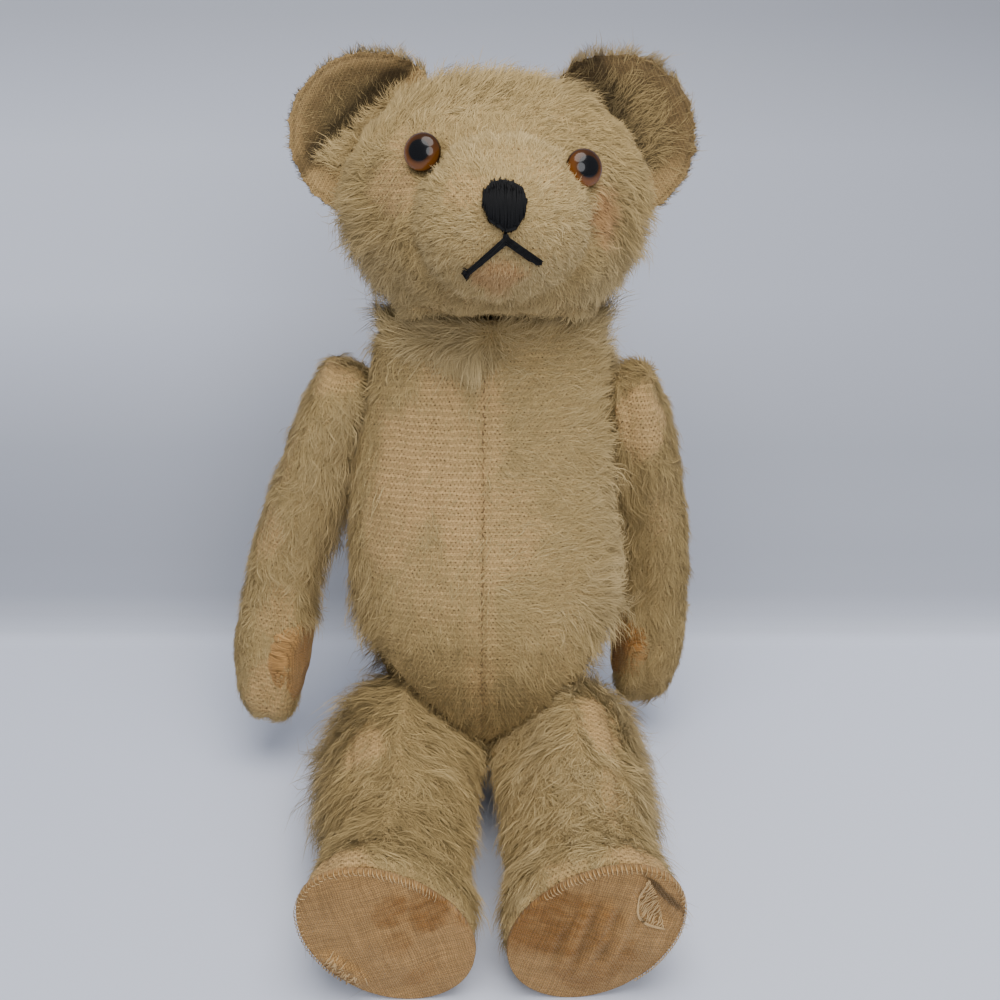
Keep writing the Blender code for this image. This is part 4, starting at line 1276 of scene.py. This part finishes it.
def sole_outline(body, node, count=120):
    """The middle of a sole, and the way and the length of its reach all round."""
    points = local(body, read_vertices(frame["nodes"][node].data))
    front = points[points[:, 1] < points[:, 1].min() + 0.05][:, [0, 2]]
    middle = (front.min(axis=0) + front.max(axis=0)) / 2
    turns = np.arctan2(*(front - middle).T[::-1])
    reach = np.linalg.norm(front - middle, axis=1)
    order = np.argsort(turns)
    even = np.linspace(-math.pi, math.pi, count, endpoint=False)
    reach = np.interp(even, turns[order], reach[order], period=2 * math.pi)
    for _ in range(12):
        reach = (np.roll(reach, 1) + reach * 2 + np.roll(reach, -1)) / 4
    return middle, even, reach


def sole_grain(side, places):
    """Places on a sole along its slanting upper seam, and across that."""
    x, z, turn = places[:, 0], places[:, 2], math.radians(34) * side
    return x * math.cos(turn) + z * math.sin(turn), z * math.cos(turn) - x * math.sin(turn)


def velvet_share(side, places):
    """Where the sole's brown nap is left, in streaks along the cloth's threads."""
    along, across = sole_grain(side, places)
    left = spots(places, VELVET_LEFT[side])
    streaks = 0.5 + 0.5 * np.sin(across * 1.5 + 2.0 * ripple(places, 10, 131)) * np.cos(along * 0.35)
    return np.clip(left * (0.65 + 0.6 * streaks) + 0.25 * ripple(places, 6, 133) * left, 0, 1)


def crowned_disc(middle, turns, reach, rings=34):
    """Points in rings over a sole and back round its edge, how far out each of them is, and their faces."""
    sides = len(turns)
    shares = np.append(np.sqrt(np.linspace(0, 1, rings)), (1, 1))
    wider = [1.4] * rings + [1.8, -2.0]
    depths = [0.6 - 1.9 * (1 - share ** 2.6) for share in shares[:rings]] + [3.0, 4.8]
    places = []
    for share, more, depth in zip(shares, wider, depths):
        far = (reach + more) * share
        places.append(rows_of(middle[0] + np.cos(turns) * far, depth - SOLE, middle[1] + np.sin(turns) * far))
    faces = [(a, d, c, b) for ring in range(rings + 1) for a, b, c, d in ring_faces(ring * sides, sides)]
    return np.concatenate(places), np.repeat(shares, sides), faces


def make_foot_pad(name, side):
    """The left sole is torn and pleated, and the right one is folded over at its side."""
    body = name + "_leg"
    middle, turns, reach = sole_outline(body, name + "_foot_pad")
    places, shares, faces = crowned_disc(middle, turns, reach)
    torn = near(places, (30, -SOLE, 27), (11, 9, 4.5)) * (side > 0)
    folded = near(places, (-49, -SOLE, 6), (5, 9, 11)) * (side < 0)
    along, across = sole_grain(side, places)
    pleats = np.sin(along / 1.25) * near(places, (27, -SOLE, 3), (12, 9, 17)) * (side > 0)
    lump = 0.7 * ripple(places, 26, 134 + side) + 0.25 * ripple(places, 9, 135) - 1.4 * torn + 2.6 * folded
    places[:, 1] -= (lump + 0.75 * pleats) * (1 - shares ** 6)
    mesh = new_mesh(name + "_foot_sole", world(body, places), faces)
    # painted shade along the tear's opening (gap), and painted light and shade across the pleats
    gap = near(places, (30, -SOLE, 33), (14, 9, 1.6)) * (side > 0)
    tone = 0.83 - 0.15 * dirt(places) + 0.12 * torn - 0.5 * gap + 0.16 * pleats - 0.05 * (side > 0)
    write_attribute(mesh, "tint", mixed("foot_cloth", "velvet", velvet_share(side, places)) * tone[:, None])
    write_attribute(mesh, "weave", rows_of(along, across, 0))
    sole = link(name + "_foot_sole", mesh, body, SOLE_CLOTH)
    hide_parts(name + "_foot_pad")
    if side > 0:
        make_torn_threads(name, sole)
    else:
        stitches(name + "_sole_darn", sole, body, darn_marks(), PEACH_COTTON, 0.25)
    make_sole_stitches(name, side, middle, zip(turns, reach))


def make_sole_stitches(name, side, middle, rim):
    """Whip stitches over the sole's edge, but for its underside, where the thread has worn away."""
    rng = np.random.default_rng(136 + side)
    runs = []
    for turn, far in rim:
        if math.sin(turn) < -0.3 + 0.3 * rng.random():
            continue
        out = Vector((math.cos(turn), 0, math.sin(turn)))
        slant = Vector((-math.sin(turn), 0, math.cos(turn))) * rng.uniform(0.1, 0.9)
        start = Vector((middle[0], -SOLE, middle[1])) + out * (far + 2.1)
        run = [start - out * rng.uniform(1.0, 2.6) - slant + Vector((0, -0.3, 0)),
               start - out * 0.8 + Vector((0, -0.5, 0)),
               start - out * 0.1 + slant * 0.6 + Vector((0, 0.2, 0)),
               start + slant + Vector((0, 2.0, 0))]
        runs.append([SPACES[name + "_leg"] @ point for point in run])
    piece = name + "_foot_stitches"
    link(piece, thread_mesh(piece, runs, 0.2), name + "_leg", PEACH_COTTON)


def darn_marks():
    """Uneven mending stitches over the fold at the right sole's side."""
    rng = np.random.default_rng(162)
    marks = []
    for _ in range(34):
        x, z = -49 + rng.uniform(-3, 3), 6 + rng.uniform(-9, 9)
        angle = 0.1 + rng.normal() * 0.35
        reach = 4.5 * rng.uniform(0.6, 1.3) / 2
        step = (math.cos(angle) * reach, math.sin(angle) * reach)
        bow = rng.uniform(-0.4, 0.4)
        marks.append([(x - step[0], z - step[1]), (x + bow, z + bow), (x + step[0], z + step[1])])
    return marks


def make_torn_threads(name, sole):
    """Where the sole's cloth has torn at its edge: bared threads across the gap, and a rolled lower edge."""
    def lips(share):
        """X and Z of the tear's upper lip, and how far its lower lip has sagged."""
        return 19 + 21 * share, 33 - 9 * share ** 1.6, 9.5 * math.sin(math.pi * share ** 0.8)

    tree = surface_tree(sole.data)
    rng = np.random.default_rng(161)
    marks = []
    for share in np.linspace(0.03, 0.97, 26):
        x, z, sag = lips(share)
        start = np.array((x, z))
        across = np.array((rng.uniform(-0.3, 0.3) + 1.5, -sag - 0.5))
        marks.append([start + across * step + (0.25 * rng.normal(), 0) for step in np.linspace(0, 1, 6)])
    for strand in range(3):
        edge = [lips(share) for share in np.linspace(0, 1, 14)]
        marks.append([(x + 1.5, z - sag - 0.3 * strand) for x, z, sag in edge])
    runs = []
    for mark in marks:
        run = [landed(tree, name + "_leg", x, z, 0.3 + 0.25 * rng.random()) for x, z in mark]
        if all(run):
            runs.append(run)
    piece = name + "_torn_threads"
    link(piece, thread_mesh(piece, runs, 0.22), name + "_leg", PEACH_COTTON)


def make_paw_pad(name, side):
    body = name + "_arm"
    mesh = remeshed(outer_faces(name + "_paw_pad", hollow=False), 1.2)
    mesh.name = name + "_paw_sole"
    relax(mesh, 4)
    points, normals = read_vertices(mesh), read_normals(mesh)
    places = local(body, points)
    up = (places[:, 2] - places[:, 2].mean()) / np.ptp(places[:, 2])
    points += normals * ((3.3 + 0.8 * (1 - 4 * up ** 2) + 0.35 * ripple(places, 9, 141)) * MM)[:, None]
    write_vertices(mesh, points)
    # the velvet's nap where it is left, with painted shade: more of it, so darker, on the left paw
    velvet_and_shade = np.clip(0.45 + 0.5 * ripple(places, 11, 142), 0, 1) * (0.8 if side < 0 else 1.3)
    write_attribute(mesh, "tint", mixed("paw_cloth", "velvet", velvet_and_shade))
    write_attribute(mesh, "weave", places[:, [1, 2, 0]])
    pad = link(name + "_paw_sole", mesh, body, PAW_CLOTH)
    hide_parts(name + "_paw_pad")


# ---------------------------------------------------------------- the whole bear

def finish_inner_pieces():
    """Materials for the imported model's own pieces, by a word in their names."""
    steel = make_steel()
    finishes = {"stuffing": make_wood_wool(), "disc": make_fibreboard(), "washer": steel, "pin": steel,
                "shank": steel, "stitching": BLACK_COTTON}
    for node, obj in frame["nodes"].items():
        for word, material in finishes.items():
            if word in node:
                obj.data.materials.clear()
                obj.data.materials.append(material)


torso = make_skin("torso_ground", "torso_cover", "torso", 2.3, torso_shape, torso_tint, around)
grow_coat("torso", torso, "torso", 33000, 57000, torso_pile, 5, width=0.22)
grow("chest_tuft", torso, "torso", 700, tuft_pile, 38, steps=4, lock=140, width=0.24, gather=0.6, glow=0.45)
for side_name, side_sign in SIDES.items():
    make_arm(side_name, side_sign)
    make_leg(side_name, side_sign)
head = make_skin("head_ground", "head_cover", "head", 2.1, head_shape, head_tint, around)
grow_coat("head", head, "head", 44000, 56000, head_pile, 95, stain=rusty, width=0.21, gather=0.15, wander=0.2)
for side_name, side_sign in SIDES.items():
    make_ear(side_name, side_sign)
    make_eye(side_name, side_sign)
    make_foot_pad(side_name, side_sign)
    make_paw_pad(side_name, side_sign)
make_nose(head)
make_mouth(head)
stitches("torso_seam_stitches", torso, "torso", torso_seam_marks(), BROWN_COTTON, 0.22)
finish_inner_pieces()
